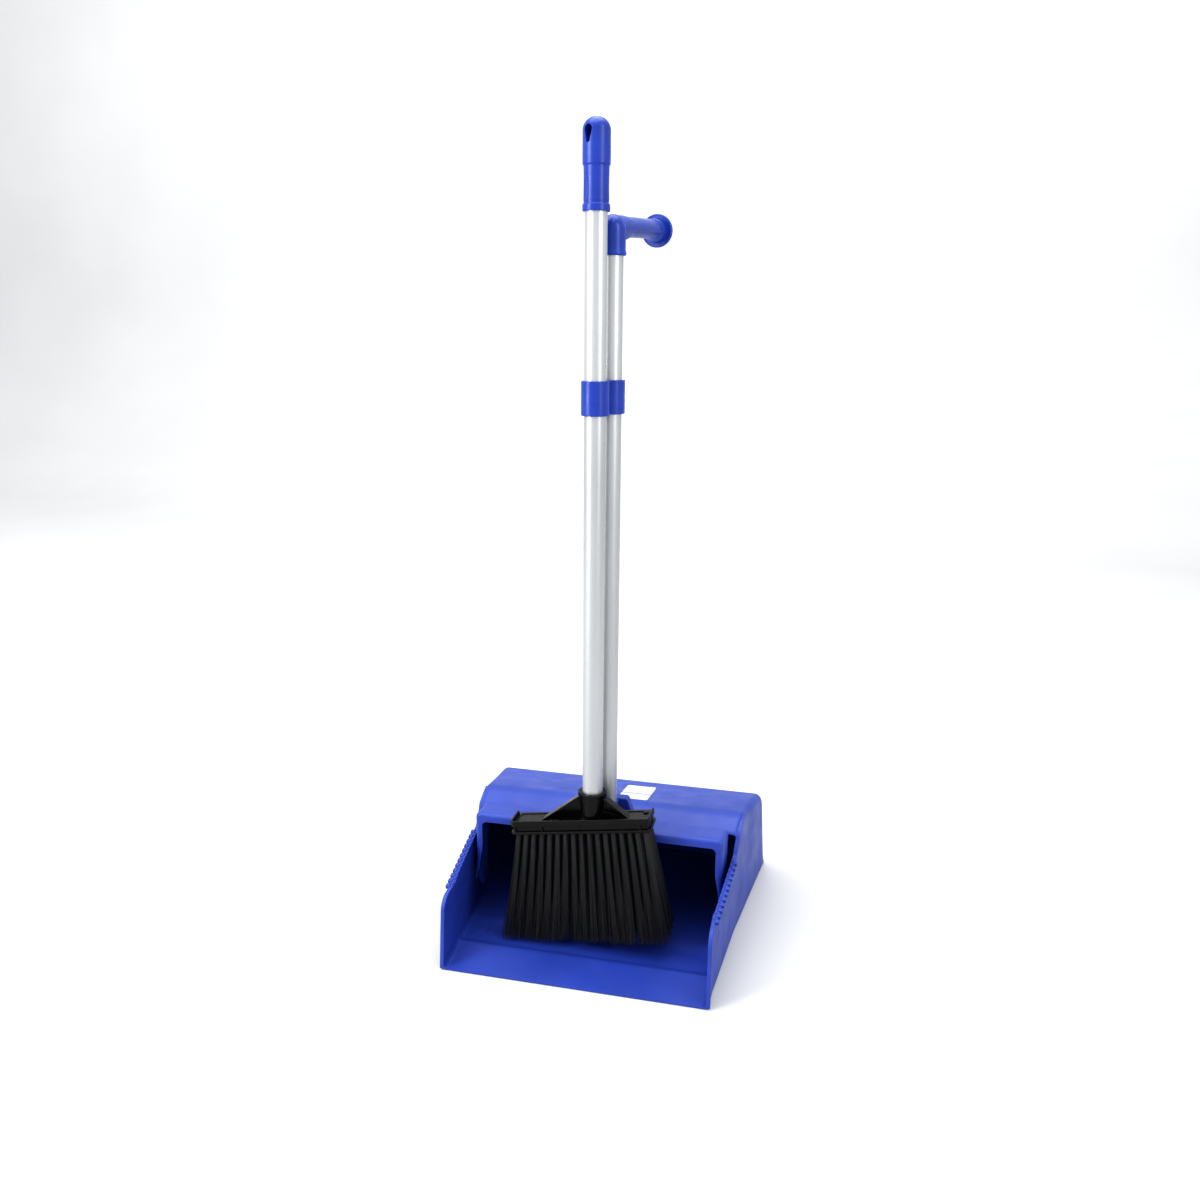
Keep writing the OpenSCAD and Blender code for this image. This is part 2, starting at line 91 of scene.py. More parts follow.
# The camera, fitted to the corners of the pan and to the rings on the tubes.
CAMERA_AT = (249.4, -935.5, 675.6)
CAMERA_YAW, CAMERA_PITCH, CAMERA_ROLL = 0.23216, 0.25425, 0.00813
CAMERA_LENS, SENSOR = 31.466, 36.0

random.seed(11)


def at(x, y, z):
    """A point of the row frame in metres, from millimetres with Y counted from the lip."""
    return Vector((x * MM, (y - HALF_DEPTH) * MM, z * MM))


def clamp01(t):
    return min(1.0, max(0.0, t))


def smooth(t):
    t = clamp01(t)
    return t * t * (3 - 2 * t)


def lerp(a, b, t):
    return a + (b - a) * t


def moved(x, y, z):
    """Places a drawing's origin at a point of the row frame."""
    return Matrix.Translation(at(x, y, z))


def turned(degrees, axis):
    return Matrix.Rotation(math.radians(degrees), 4, axis)


def mirrored(side):
    """Swaps left and right where side is -1."""
    return Matrix.Scale(side, 4, (1, 0, 0))


def arc(cx, cy, r, a0, a1, n):
    """n + 1 points on an arc, angles in degrees."""
    steps = [math.radians(lerp(a0, a1, i / n)) for i in range(n + 1)]
    return [(cx + r * math.cos(a), cy + r * math.sin(a)) for a in steps]


def path_height(points, y):
    """Height at y of an open path of (y, z) points."""
    for (y0, z0), (y1, z1) in zip(points, points[1:]):
        if y <= y1:
            return lerp(z0, z1, clamp01((y - y0) / max(y1 - y0, 1e-6)))
    return points[-1][1]


# ---- Materials ----
class Nodes:
    """A material's node tree, with short ways to add and link nodes."""

    def __init__(self, name):
        self.material = bpy.data.materials.new(name)
        self.material.use_nodes = True
        self.tree = self.material.node_tree
        self.shader = self.tree.nodes["Principled BSDF"]

    def add(self, kind, **values):
        node = self.tree.nodes.new(kind)
        for key, value in values.items():
            if key in node.inputs:
                node.inputs[key].default_value = value
            else:
                setattr(node, key, value)
        return node

    def link(self, source, target):
        self.tree.links.new(source, target)

    def drive(self, socket, source):
        """Links source to a socket of the shader."""
        self.link(source, self.shader.inputs[socket])

    def set(self, **values):
        for key, value in values.items():
            self.shader.inputs[key.replace("_", " ")].default_value = value

    def place(self, scale=(1, 1, 1)):
        """Object coordinates stretched by scale."""
        mapping = self.add("ShaderNodeMapping", Scale=scale)
        self.link(self.add("ShaderNodeTexCoord").outputs["Object"], mapping.inputs["Vector"])
        return mapping.outputs["Vector"]

    def noise(self, vector, scale, detail=3.0, roughness=0.5):
        node = self.add("ShaderNodeTexNoise", Scale=scale, Detail=detail, Roughness=roughness)
        self.link(vector, node.inputs["Vector"])
        return node.outputs["Fac"]

    def ramp(self, fac, *stops):
        node = self.add("ShaderNodeValToRGB")
        ends = node.color_ramp.elements
        while len(ends) < len(stops):
            ends.new(0.5)
        for end, (position, colour) in zip(ends, stops):
            end.position, end.color = position, (*colour, 1)
        self.link(fac, node.inputs["Fac"])
        return node.outputs["Color"]

    def map_range(self, value, start, end, low, high, interpolation="LINEAR"):
        """Takes value from start..end to low..high."""
        node = self.add("ShaderNodeMapRange", interpolation_type=interpolation)
        limits = {"From Min": start, "From Max": end, "To Min": low, "To Max": high}
        for key, limit in limits.items():
            node.inputs[key].default_value = limit
        self.link(value, node.inputs["Value"])
        return node.outputs["Result"]

    def spread(self, fac, low, high):
        """A noise's usual range brought to low..high."""
        return self.map_range(fac, 0.3, 0.7, low, high)

    def bump(self, height, strength, distance, under=None):
        node = self.add("ShaderNodeBump", Strength=strength, Distance=distance)
        self.link(height, node.inputs["Height"])
        if under is not None:
            self.link(under, node.inputs["Normal"])
        return node.outputs["Normal"]


def blue_plastic(name, dark, light, roughness):
    """Glossy moulded plastic: faint flow lines, an uneven sheen and a fine orange peel."""
    n = Nodes(name)
    vector = n.place()
    flow = n.noise(n.place((5, 5, 22)), 2.2, 4.0, 0.55)
    n.drive("Base Color", n.ramp(flow, (0.35, dark), (0.68, light)))
    n.drive("Roughness", n.spread(n.noise(vector, 34, 4.0), roughness - 0.05, roughness + 0.09))
    peel = n.bump(n.noise(vector, 900, 2.0), 0.04, 0.00006)
    n.drive("Normal", n.bump(n.noise(vector, 14, 1.0), 0.06, 0.0005, peel))
    n.set(IOR=1.47)
    return n.material


def tube_metal():
    """Drawn and anodised aluminium: satin, with faint lines along the tube."""
    n = Nodes("anodised aluminium")
    lines = n.noise(n.place((900, 900, 0.5)), 1.0, 3.0)
    cloud = n.noise(n.place((18, 18, 5)), 1.0, 3.0)
    n.drive("Base Color", n.ramp(cloud, (0.3, (0.44, 0.45, 0.455)), (0.7, (0.50, 0.51, 0.515))))
    n.drive("Roughness", n.spread(lines, 0.33, 0.41))
    n.drive("Normal", n.bump(lines, 0.03, 0.00003))
    n.set(Metallic=0.65)
    return n.material


def screw_metal():
    """Zinc-plated steel, a little mottled."""
    n = Nodes("zinc plated steel")
    mottle = n.noise(n.place(), 700, 3.0)
    n.drive("Base Color", n.ramp(mottle, (0.3, (0.42, 0.43, 0.44)), (0.7, (0.62, 0.62, 0.60))))
    n.drive("Roughness", n.spread(mottle, 0.24, 0.42))
    n.set(Metallic=1.0)
    return n.material


def black_plastic():
    """Semi-gloss black moulded plastic with a fine spark texture."""
    n = Nodes("black moulded plastic")
    vector = n.place()
    shade = n.noise(vector, 60, 3.0)
    n.drive("Base Color", n.ramp(shade, (0.3, (0.002, 0.002, 0.002)), (0.7, (0.004, 0.004, 0.004))))
    n.drive("Roughness", n.spread(n.noise(vector, 150, 3.0), 0.20, 0.30))
    n.drive("Normal", n.bump(n.noise(vector, 1500, 2.0), 0.06, 0.00004))
    n.set(IOR=1.36)
    return n.material


def filament():
    """Soft black filament, with random strands painted a little paler as painted highlights where light
    catches single strands.
    """
    n = Nodes("black filament")
    strands = n.noise(n.place((1600, 1600, 26)), 1.0, 3.0)
    # painted highlight: random strands a little paler in the base colour, not dust
    n.drive("Base Color", n.ramp(strands, (0.3, (0.004, 0.004, 0.0042)), (0.72, (0.024, 0.024, 0.025))))
    n.drive("Roughness", n.spread(strands, 0.42, 0.62))
    return n.material


def label_paper():
    """Blank white label stock with a plain pale band across it."""
    n = Nodes("blank label")
    vector = n.place()
    split = n.add("ShaderNodeSeparateXYZ")
    n.link(vector, split.inputs["Vector"])
    along, middle = split.outputs["Y"], at(0, LABEL_BAND_Y, 0).y
    band_half, band_fade = 0.0020, 0.0012
    lower = middle - band_half
    upper = middle + band_half
    start = n.map_range(along, lower - band_fade, lower, 0.0, 1.0, "SMOOTHSTEP")
    end = n.map_range(along, upper, upper + band_fade, 1.0, 0.0, "SMOOTHSTEP")
    both = n.add("ShaderNodeMath", operation="MULTIPLY")
    n.link(start, both.inputs[0])
    n.link(end, both.inputs[1])
    band = both.outputs["Value"]
    n.drive("Base Color", n.ramp(band, (0.0, (0.50, 0.51, 0.52)), (1.0, (0.22, 0.26, 0.38))))
    fibre = n.noise(vector, 900, 4.0)
    n.drive("Roughness", n.spread(fibre, 0.38, 0.52))
    n.drive("Normal", n.bump(fibre, 0.08, 0.00004))
    return n.material


def stage_paint():
    """Matt paint of the studio floor, very slightly uneven."""
    n = Nodes("pale studio floor")
    cloud = n.noise(n.place(), 3.0, 2.0)
    n.drive("Base Color", n.ramp(cloud, (0.3, (0.50, 0.50, 0.50)), (0.7, (0.52, 0.52, 0.52))))
    n.set(Roughness=0.7)
    return n.material


LABEL_X, LABEL_Y, LABEL_BAND_Y = 23.5, 227.2, 221.7
# Looks: a material with the name of its slot.
PAN_BLUE = blue_plastic("pan plastic", (0.020, 0.047, 0.26), (0.027, 0.057, 0.31), 0.45), "blue_pan_plastic"
FITTING_BLUE = (blue_plastic("fitting plastic", (0.010, 0.038, 0.26), (0.015, 0.047, 0.32), 0.30),
                "blue_fitting_plastic")
ALUMINIUM = tube_metal(), "tube_aluminium"
STEEL = screw_metal()
BLACK = black_plastic(), "black_block_plastic"
FILAMENT = filament(), "bristle_filament"
LABEL = label_paper(), "label_paper"


# ---- Mesh tools ----
def finish_piece(obj, look, body, stands_for=(), sharp=32, bevel=0.0, bevel_from=40):
    """Shades, bevels and paints a piece, and hangs it on its body."""
    material, slot = look
    mesh = obj.data
    mesh.materials.clear()
    mesh.materials.append(material)
    mesh.shade_smooth()
    mesh.set_sharp_from_angle(angle=math.radians(sharp))
    if bevel:
        edge = obj.modifiers.new("soft edges", "BEVEL")
        edge.width, edge.segments, edge.limit_method = bevel * MM, 3, "ANGLE"
        edge.angle_limit = math.radians(bevel_from)
        edge.use_clamp_overlap = True
        edge.harden_normals = False
        mesh.set_sharp_from_angle(angle=math.radians(180))
    normals = obj.modifiers.new("even shading", "WEIGHTED_NORMAL")
    normals.keep_sharp = True
    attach(obj, body)
    if stands_for:
        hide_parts(*stands_for)


def add_to_scene(name, data):
    obj = bpy.data.objects.new(name, data)
    bpy.context.scene.collection.objects.link(obj)
    return obj


def new_object(name, bm):
    """Object from a bmesh, cleaned of doubles, slivers and loose points."""
    mesh = bpy.data.meshes.new(name)
    bmesh.ops.remove_doubles(bm, verts=bm.verts, dist=2e-6)
    bmesh.ops.dissolve_degenerate(bm, edges=bm.edges, dist=1e-6)
    loose = [v for v in bm.verts if not v.link_faces]
    bmesh.ops.delete(bm, geom=loose, context="VERTS")
    bmesh.ops.recalc_face_normals(bm, faces=bm.faces)
    bm.to_mesh(mesh)
    bm.free()
    return add_to_scene(name, mesh)


def add_piece(name, bm, look, body, stands_for=(), **edges):
    """Finished piece from a bmesh; edges says how finish_piece treats its edges."""
    finish_piece(new_object(name, bm), look, body, stands_for, **edges)


def add_faces(bm, points, faces):
    verts = [bm.verts.new(p) for p in points]
    for face in faces:
        try:
            bm.faces.new([verts[i] for i in face])
        except ValueError:
            pass
    return verts


def grid_shell(bm, outer, inner, keep=lambda i, j: True, cap_end=False):
    """Closed thin wall between two matching grids of points; keep(i, j) says which quads exist."""
    rows, cols = len(outer), len(outer[0])
    points = [p for grid in (outer, inner) for row in grid for p in row]

    def vertex(side, i, j):
        return side * rows * cols + i * cols + j

    quads = {(i, j) for i in range(rows - 1) for j in range(cols - 1) if keep(i, j)}
    # neighbour across each side of a quad, with the corners of that side
    sides = {(-1, 0): ((0, 0), (0, 1)), (0, 1): ((0, 1), (1, 1)),
             (1, 0): ((1, 1), (1, 0)), (0, -1): ((1, 0), (0, 0))}
    faces = []
    for i, j in sorted(quads):
        corners = [(i, j), (i, j + 1), (i + 1, j + 1), (i + 1, j)]
        faces.append([vertex(0, *c) for c in corners])
        faces.append([vertex(1, *c) for c in reversed(corners)])
        for (di, dj), (a, b) in sides.items():
            if (i + di, j + dj) in quads or (cap_end and i + di == rows - 1):
                continue
            a, b = (i + a[0], j + a[1]), (i + b[0], j + b[1])
            same = (points[vertex(0, *a)] - points[vertex(0, *b)]).length < 1e-7
            if not same:
                faces.append([vertex(0, *b), vertex(0, *a), vertex(1, *a), vertex(1, *b)])
    if cap_end:
        faces.append([vertex(0, rows - 1, j) for j in range(cols - 1)])
        faces.append([vertex(1, rows - 1, j) for j in reversed(range(cols - 1))])
    add_faces(bm, points, faces)


def loft(bm, rings, cap=True):
    """Skin over closed rings of points, capped at both ends."""
    n = len(rings[0])
    points = [p for ring in rings for p in ring]
    faces = [[k * n + i, k * n + (i + 1) % n, (k + 1) * n + (i + 1) % n, (k + 1) * n + i]
             for k in range(len(rings) - 1) for i in range(n)]
    if cap:
        faces += [list(reversed(range(n))), [(len(rings) - 1) * n + i for i in range(n)]]
    add_faces(bm, points, faces)


def lathe(bm, profile, matrix, segments=96, radius=None):
    """Turns a profile of (r, z) in millimetres; radius(r, z, angle) can shape it further.

    A profile that returns to its start makes a closed ring, any other is capped at its ends.
    """
    closed = profile[0] == profile[-1]
    rings = []
    for r, z in profile:
        ring = []
        for k in range(segments):
            a = math.tau * k / segments
            rr = radius(r, z, a) if radius else r
            ring.append(matrix @ Vector((rr * math.cos(a) * MM, rr * math.sin(a) * MM, z * MM)))
        rings.append(ring)
    loft(bm, rings, cap=not closed)


def soft_box(bm, x0, x1, y0, y1, z0, z1, matrix, r=0.8):
    """Box with rounded edges, built from bevelled corners."""
    part = bmesh.new()
    bmesh.ops.create_cube(part, size=1.0)
    limits = ((x0, x1), (y0, y1), (z0, z1))
    for v in part.verts:
        v.co = Vector([lerp(low, high, share + 0.5) * MM for (low, high), share in zip(limits, v.co)])
    bmesh.ops.bevel(part, geom=list(part.edges), offset=r * MM, segments=3, profile=0.5, affect="EDGES")
    part.transform(matrix)
    mesh = bpy.data.meshes.new("part")
    part.to_mesh(mesh)
    part.free()
    bm.from_mesh(mesh)
    bpy.data.meshes.remove(mesh)


def baked_mesh(obj):
    """The mesh of an object with its modifiers applied."""
    bpy.context.view_layer.update()
    return bpy.data.meshes.new_from_object(obj.evaluated_get(bpy.context.evaluated_depsgraph_get()))


def flat_plate(name, loops, thickness, bevel, matrix):
    """Plate with rounded edges over closed 2D loops, from local z = 0 to thickness.

    The loops after the first are holes.
    """
    curve = bpy.data.curves.new(name, "CURVE")
    curve.dimensions, curve.fill_mode = "2D", "BOTH"
    for loop in loops:
        spline = curve.splines.new("POLY")
        spline.points.add(len(loop) - 1)
        for point, (x, y) in zip(spline.points, loop):
            point.co = (x * MM, y * MM, 0, 1)
        spline.use_cyclic_u = True
    curve.extrude = (thickness / 2 - bevel) * MM
    curve.bevel_depth, curve.bevel_resolution = bevel * MM, 3
    curve.offset = -bevel * MM
    holder = add_to_scene(name, curve)
    mesh = baked_mesh(holder)
    bpy.data.objects.remove(holder)
    mesh.transform(matrix @ Matrix.Translation((0, 0, thickness / 2 * MM)))
    return mesh


def merge_mesh(bm, mesh):
    bm.from_mesh(mesh)
    bpy.data.meshes.remove(mesh)


def blend_solid(obj, voxel, passes):
    """Fuses overlapping solids into one skin with small fillets."""
    remesh = obj.modifiers.new("fuse", "REMESH")
    remesh.mode, remesh.voxel_size = "VOXEL", voxel * MM
    ease = obj.modifiers.new("fillet", "SMOOTH")
    ease.factor, ease.iterations = 0.5, passes
    mesh = baked_mesh(obj)
    obj.modifiers.clear()
    obj.data = mesh


def along_y(x, y, z):
    """Local (x, y) of a 2D drawing stand for X and Z of the frame; local z runs towards -Y."""
    return moved(x, y, z) @ turned(90, "X")


# ---- The pan ----
def pan_half(y):
    """Half of the pan's width at its floor."""
    if y < FLARE_START:
        return LIP_HALF
    if y < BIN_FRONT:
        return lerp(LIP_HALF, WAIST_HALF, (y - FLARE_START) / (BIN_FRONT - FLARE_START))
    return lerp(WAIST_HALF, HEEL_HALF, (y - BIN_FRONT) / (PAN_DEPTH - BIN_FRONT))


# (y, z) along the top of a side wall
COMB_LINE = ((22.0, WALL_FRONT_H), (144.0, 99.5))
WALL_TOP = [*COMB_LINE, (148.5, WALL_BACK_H + 3), (ROOF_FRONT[0], ROOF_FRONT[1] - ROOF_SIDE_R)]


def edge_lean(z):
    """How far back the front edge of a side wall stands at height z."""
    straight = WALL_FRONT_H - CORNER_R
    if z < straight:
        return EDGE_LEAN * z / straight
    return EDGE_LEAN + CORNER_R - math.sqrt(max(0.0, CORNER_R ** 2 - (z - straight) ** 2))


def roof_path():
    """(y, z) of the roof and rear wall, with a rounded ridge and a rounded rear edge."""
    front, ridge, back, heel = (Vector(p) for p in (ROOF_FRONT, ROOF_RIDGE, ROOF_BACK, (PAN_DEPTH, 0.0)))
    points = [front + (ridge - front) * t for t in (0.0, 0.12, 0.3, 0.5)]
    for corner, before, after, reach in ((ridge, front, back, 11.0), (back, ridge, heel, 9.0)):
        a = corner + (before - corner).normalized() * reach
        b = corner + (after - corner).normalized() * reach
        for t in (k / 8 for k in range(9)):
            points.append(a * (1 - t) ** 2 + corner * 2 * t * (1 - t) + b * t * t)
        if corner is ridge:
            points += [lerp(b, back, t) for t in (0.2, 0.4, 0.6, 0.8)]
    last = points[-1]
    points += [lerp(last, heel, t) for t in (0.15, 0.3, 0.45, 0.6, 0.75, 0.88, 0.955)]
    return [tuple(p) for p in points]


def pan_section(half, top, side_r, foot_r, lean, shift=lambda z: 0.0):
    """Half of a cross-section as (x, z, y shift): floor, foot fillet, wall, roof corner and roof."""
    up = [0, .12, .26, .4, .54, .66, .75, .80, .853, .90, .942, .973, .993, 1]
    foot = [(half - foot_r + dx, foot_r + dz) for dx, dz in arc(0, 0, foot_r, -90, 0, 4)]
    z_wall = top - side_r
    wall = [(half - lean * t, lerp(foot_r, z_wall, t)) for t in up[1:]]
    corner = arc(half - lean - side_r, z_wall, side_r, 0, 90, 6)[1:]
    x_roof = half - lean - side_r
    floor = [(x_roof * t, 0.0) for t in (0, .2, .4, .6, .8, .93)]
    roof = [(x_roof * t, top) for t in (.93, .8, .6, .4, .2, 0)]
    return [(x, z, shift(z)) for x, z in floor + foot + wall + corner + roof]


WALL_N = 6 + 5 + 13                       # points of a half section: floor, foot and wall


def full_ring(y, half_section):
    """Mirrors a half section into a ring that starts and ends at the middle of the floor."""
    left = [(-x, z, dy) for x, z, dy in reversed(half_section)]
    return [at(x, y + dy, z) for x, z, dy in half_section + left[:-1] + half_section[:1]]


def pan_grids():
    """Outer and inner skin of the pan, station by station from lip to heel."""
    tray = [0, 1.2, 3, 6, 10, 15, 21, 28, 36, 44, 48, 50, 53, 56, 58,
            64, 76, 90, 104, 118, 130, 138, 144, 148.5, 153]
    ramp = [(0, 1.3), (RAMP_DEPTH - 4, RAMP_H - 0.3), (RAMP_DEPTH, RAMP_H),
            (RAMP_END, WALL), (PAN_DEPTH, WALL)]
    outer, inner = [], []
    for y in tray:
        fade = 1 - smooth(y / 62)

        def shift(z):
            return edge_lean(min(z, WALL_FRONT_H)) * fade

        half = pan_half(y)
        top = path_height(WALL_TOP, y + CORNER_R * fade + EDGE_LEAN * fade)
        outer.append(full_ring(y, pan_section(half, top, 0.0, 2.5, 1.0, shift)))
        floor = path_height(ramp, y)
        section = pan_section(half - WALL, top, 0.0, 5.0, 1.0, shift)
        lifted = [(x, floor + z * (top - floor) / top, dy) for x, z, dy in section]
        inner.append(full_ring(y, lifted))
    path = roof_path()
    for k, (y, z) in enumerate(path):
        before, after = Vector(path[max(k - 1, 0)]), Vector(path[min(k + 1, len(path) - 1)])
        tangent = (after - before).normalized()
        dy, dz = tangent.y * WALL, -tangent.x * WALL
        half = pan_half(y)
        side_r = min(ROOF_SIDE_R + 2.5 * smooth((y - ROOF_RIDGE[0]) / 60), z * 0.45)
        outer.append(full_ring(y, pan_section(half, z, side_r, min(2.5, z * 0.3), 1.0)))
        z_in = max(z + dz, WALL + 0.6)
        section = pan_section(half - WALL, z_in, max(side_r - WALL, 0.3), min(5.0, z_in * 0.3), 1.0)
        raised = [(x, WALL + q * (z_in - WALL) / z_in, -dy * q / z_in) for x, q, _ in section]
        inner.append(full_ring(y, raised))
    return outer, inner, len(tray)


def build_pan_shell():
    """Tray, side walls and bin in one thin shell; the roof starts where the tray's stations end."""
    outer, inner, tray_rows = pan_grids()
    cols = len(outer[0]) - 1

    def keep(i, j):
        side = min(j, cols - 1 - j)
        return i >= tray_rows or side < WALL_N - 1

    bm = bmesh.new()
    grid_shell(bm, outer, inner, keep, cap_end=True)
    add_piece("pan_shell", bm, PAN_BLUE, "pan", ("pan_body",), bevel=0.9, bevel_from=58)


def rim_path(side):
    """(x, y, z) along the top of a side wall: up its front edge and back up to the roof."""
    straight = WALL_FRONT_H - CORNER_R
    points = [(EDGE_LEAN * t, straight * t) for t in (0.02, 0.25, 0.5, 0.75, 0.95)]
    points += [(y, z) for y, z in arc(EDGE_LEAN + CORNER_R, straight, CORNER_R, 175, 97, 10)]
    stations = (27, 40, 60, 80, 100, 120, 136, 142, 144.5, 147, 149.5, 154, 157.5)
    points += [(y, path_height(WALL_TOP, y)) for y in stations]
    points += [(161.0, ROOF_FRONT[1] - 1.0), (168.0, 123.6), (176.0, 127.0), (183.0, 129.0), (190.0, 129.6)]
    return [(side * (pan_half(y) - 1.0 * z / 100), y, z) for y, z in points]


def build_rim(side, label):
    """Bead along the edge of a side wall; it grows into a ledge from the comb back."""
    bm = bmesh.new()
    path = rim_path(side)
    rings = []
    for k, (x, y, z) in enumerate(path):
        _, y0, z0 = path[max(k - 1, 0)]
        _, y1, z1 = path[min(k + 1, len(path) - 1)]
        tangent = Vector((y1 - y0, z1 - z0)).normalized()
        normal = Vector((-tangent.y, tangent.x))
        fade = smooth((y - 158) / 28)
        out = lerp(1.3 + 0.8 * smooth((y - COMB_START) / 8), 0.4, fade)
        thick = lerp(3.0, 0.6, fade)
        high = lerp(0.5, 0.2, fade)
        section, inside = [], -WALL - 0.1
        r = min(0.9, thick * 0.35)
        for cx, cz, a0 in ((out, high, 0), (inside, high, 90), (inside, -thick, 180), (out, -thick, 270)):
            ox, oz = (-r if cx > 0 else r), (-r if cz > 0 else r)
            section += arc(cx + ox, cz + oz, r, a0, a0 + 90, 4)
        rings.append([at(x + side * a, y + normal.x * b, z + normal.y * b) for a, b in section])
    loft(bm, rings)
    add_piece("pan_rim_" + label, bm, PAN_BLUE, "pan", sharp=60)


def build_comb(side, label):
    """Short blocks that stand out of the ledge, for combing dirt out of the bristles."""
    bm = bmesh.new()
    (y0, z0), (y1, z1) = COMB_LINE
    slope = math.atan2(z1 - z0, y1 - y0)
    for k in range(COMB_TEETH):
        y = COMB_START + (k + 0.5) * COMB_PITCH
        z = path_height(WALL_TOP, y)
        x = pan_half(y) - z / 100
        place = moved(side * x, y, z) @ Matrix.Rotation(slope, 4, "X") @ mirrored(side)
        soft_box(bm, -0.6, 4.5, -2.6, 2.6, -2.8, 1.5, place, 0.8)
        soft_box(bm, -WALL + 0.2, -0.4, 2.2, COMB_PITCH - 2.2, -1.0, 1.3, place, 0.7)
    add_piece("comb_teeth_" + label, bm, PAN_BLUE, "pan", sharp=50)


def hinge_matrix(side, x):
    """Local +Z points outwards along the hinge's axis, from x."""
    return moved(side * x, HINGE_Y, HINGE_Z) @ turned(side * 90, "Y")


def build_hinge_boss(side, label):
    """Boss on the inside of the side wall, in which the hinge pin turns."""
    bm = bmesh.new()
    inner_x, outer_x = 147.2, 150.2
    depth = outer_x - inner_x
    profile = [(4.1, depth), (4.1, 0.4), (4.5, 0.0), (8.4, 0.0), (9.0, 0.6), (9.0, depth), (4.1, depth)]
    lathe(bm, profile, hinge_matrix(side, inner_x), 64)
    add_piece("hinge_boss_" + label, bm, PAN_BLUE, "pan")


def build_floor_ribs():
    """Low curved ribs that stiffen the floor of the tray."""
    bm = bmesh.new()
    for x, y0, y1, bow in ((-118, 66, 148, -7), (118, 66, 148, 7)):
        rings = []
        for k in range(17):
            t = k / 16
            y = lerp(y0, y1, t)
            px = x + bow * math.sin(t * 1.6)
            rise = 0.5 * math.sin(math.pi * t) ** 0.4 + 0.02
            rings.append([at(px + 1.3 * math.cos(a), y, WALL - 0.15 + rise * math.sin(a))
                          for a in (math.pi * q / 8 for q in range(9))])
        loft(bm, rings)
    add_piece("floor_ribs", bm, PAN_BLUE, "pan", sharp=60)


def build_label():
    """Blank label that lies on the roof, a little wavy."""
    slope = math.atan2(ROOF_RIDGE[1] - ROOF_BACK[1], ROOF_BACK[0] - ROOF_RIDGE[0])
    z_roof = path_height([ROOF_RIDGE, ROOF_BACK], LABEL_Y)
    place = moved(LABEL_X, LABEL_Y, z_roof + 0.12) @ Matrix.Rotation(-slope, 4, "X")
    half_x, half_y, r = 18.0, 33.0, 2.0
    bm = bmesh.new()
    outer, inner = [], []
    for i in range(25):
        v = lerp(-half_y, half_y, i / 24)
        inset = r - math.sqrt(max(0.0, r * r - max(0.0, abs(v) - half_y + r) ** 2))
        rows = ([], [])
        for j in range(21):
            u = lerp(-half_x + inset, half_x - inset, j / 20)
            curl = 0.4 * smooth((u + v - 38) / 14)
            for row, z in zip(rows, (0.16 + curl, curl)):
                row.append(place @ Vector((u * MM, v * MM, z * MM)))
        outer.append(rows[0])
        inner.append(rows[1])
    grid_shell(bm, outer, inner)
    add_piece("roof_label_paper", bm, LABEL, "pan", ("roof_label",), sharp=50)


# ---- The hood ----
def hood_side_edges(z):
    """Front and rear edge of a leg at height z."""
    reach = math.sqrt(max(0.0, HINGE_FOOT_R ** 2 - (z - HINGE_Z) ** 2))
    front = HOOD_FRONT
    if z < LEG_FRONT_Z:
        start = HINGE_Y - HINGE_FOOT_R * math.cos(math.radians(35))
        low = HINGE_Z - HINGE_FOOT_R * math.sin(math.radians(35))
        front = lerp(start, HOOD_FRONT, clamp01((z - low) / (LEG_FRONT_Z - low)))
        if z < low:
            front = HINGE_Y - reach
    back = HOOD_BACK
    if z <= HINGE_Z:
        back = HINGE_Y + reach
    elif z < LEG_BACK_Z:
        back = lerp(HINGE_Y + HINGE_FOOT_R, HOOD_BACK - 1, (z - HINGE_Z) / (LEG_BACK_Z - HINGE_Z))
    return front, back


def hood_rows():
    """Pairs of outer point and opening point, from the left foot over the top to the right."""
    inner_half, inner_top = HOOD_HALF - 8.0, HOOD_H - 10.5
    leg = [33.2, 34.5, 36.5, 39, 42, 45, 49, 53, 57, 60.5, 62, 64, 70, 78, 88, 97, 106, 112, 118.4]
    rows = []
    for z in leg:
        width = 0.6 if z < LEG_FRONT_Z else lerp(3.2, 8.0, smooth((z - LEG_FRONT_Z) / 34))
        rows.append(((-HOOD_HALF, z), (-HOOD_HALF + width, z)))
    r = 5.5
    corner_out = arc(-HOOD_HALF + r, HOOD_H - r, r, 180, 90, 8)
    corner_in = arc(-inner_half + r, inner_top - r, r, 180, 90, 8)
    rows += list(zip(corner_out, corner_in))
    rows += [((x, HOOD_H), (x, inner_top)) for x in (-125, -100, -70, -35, 0)]
    mirrored = [((-a[0], a[1]), (-b[0], b[1])) for a, b in reversed(rows[:-1])]
    return rows + mirrored


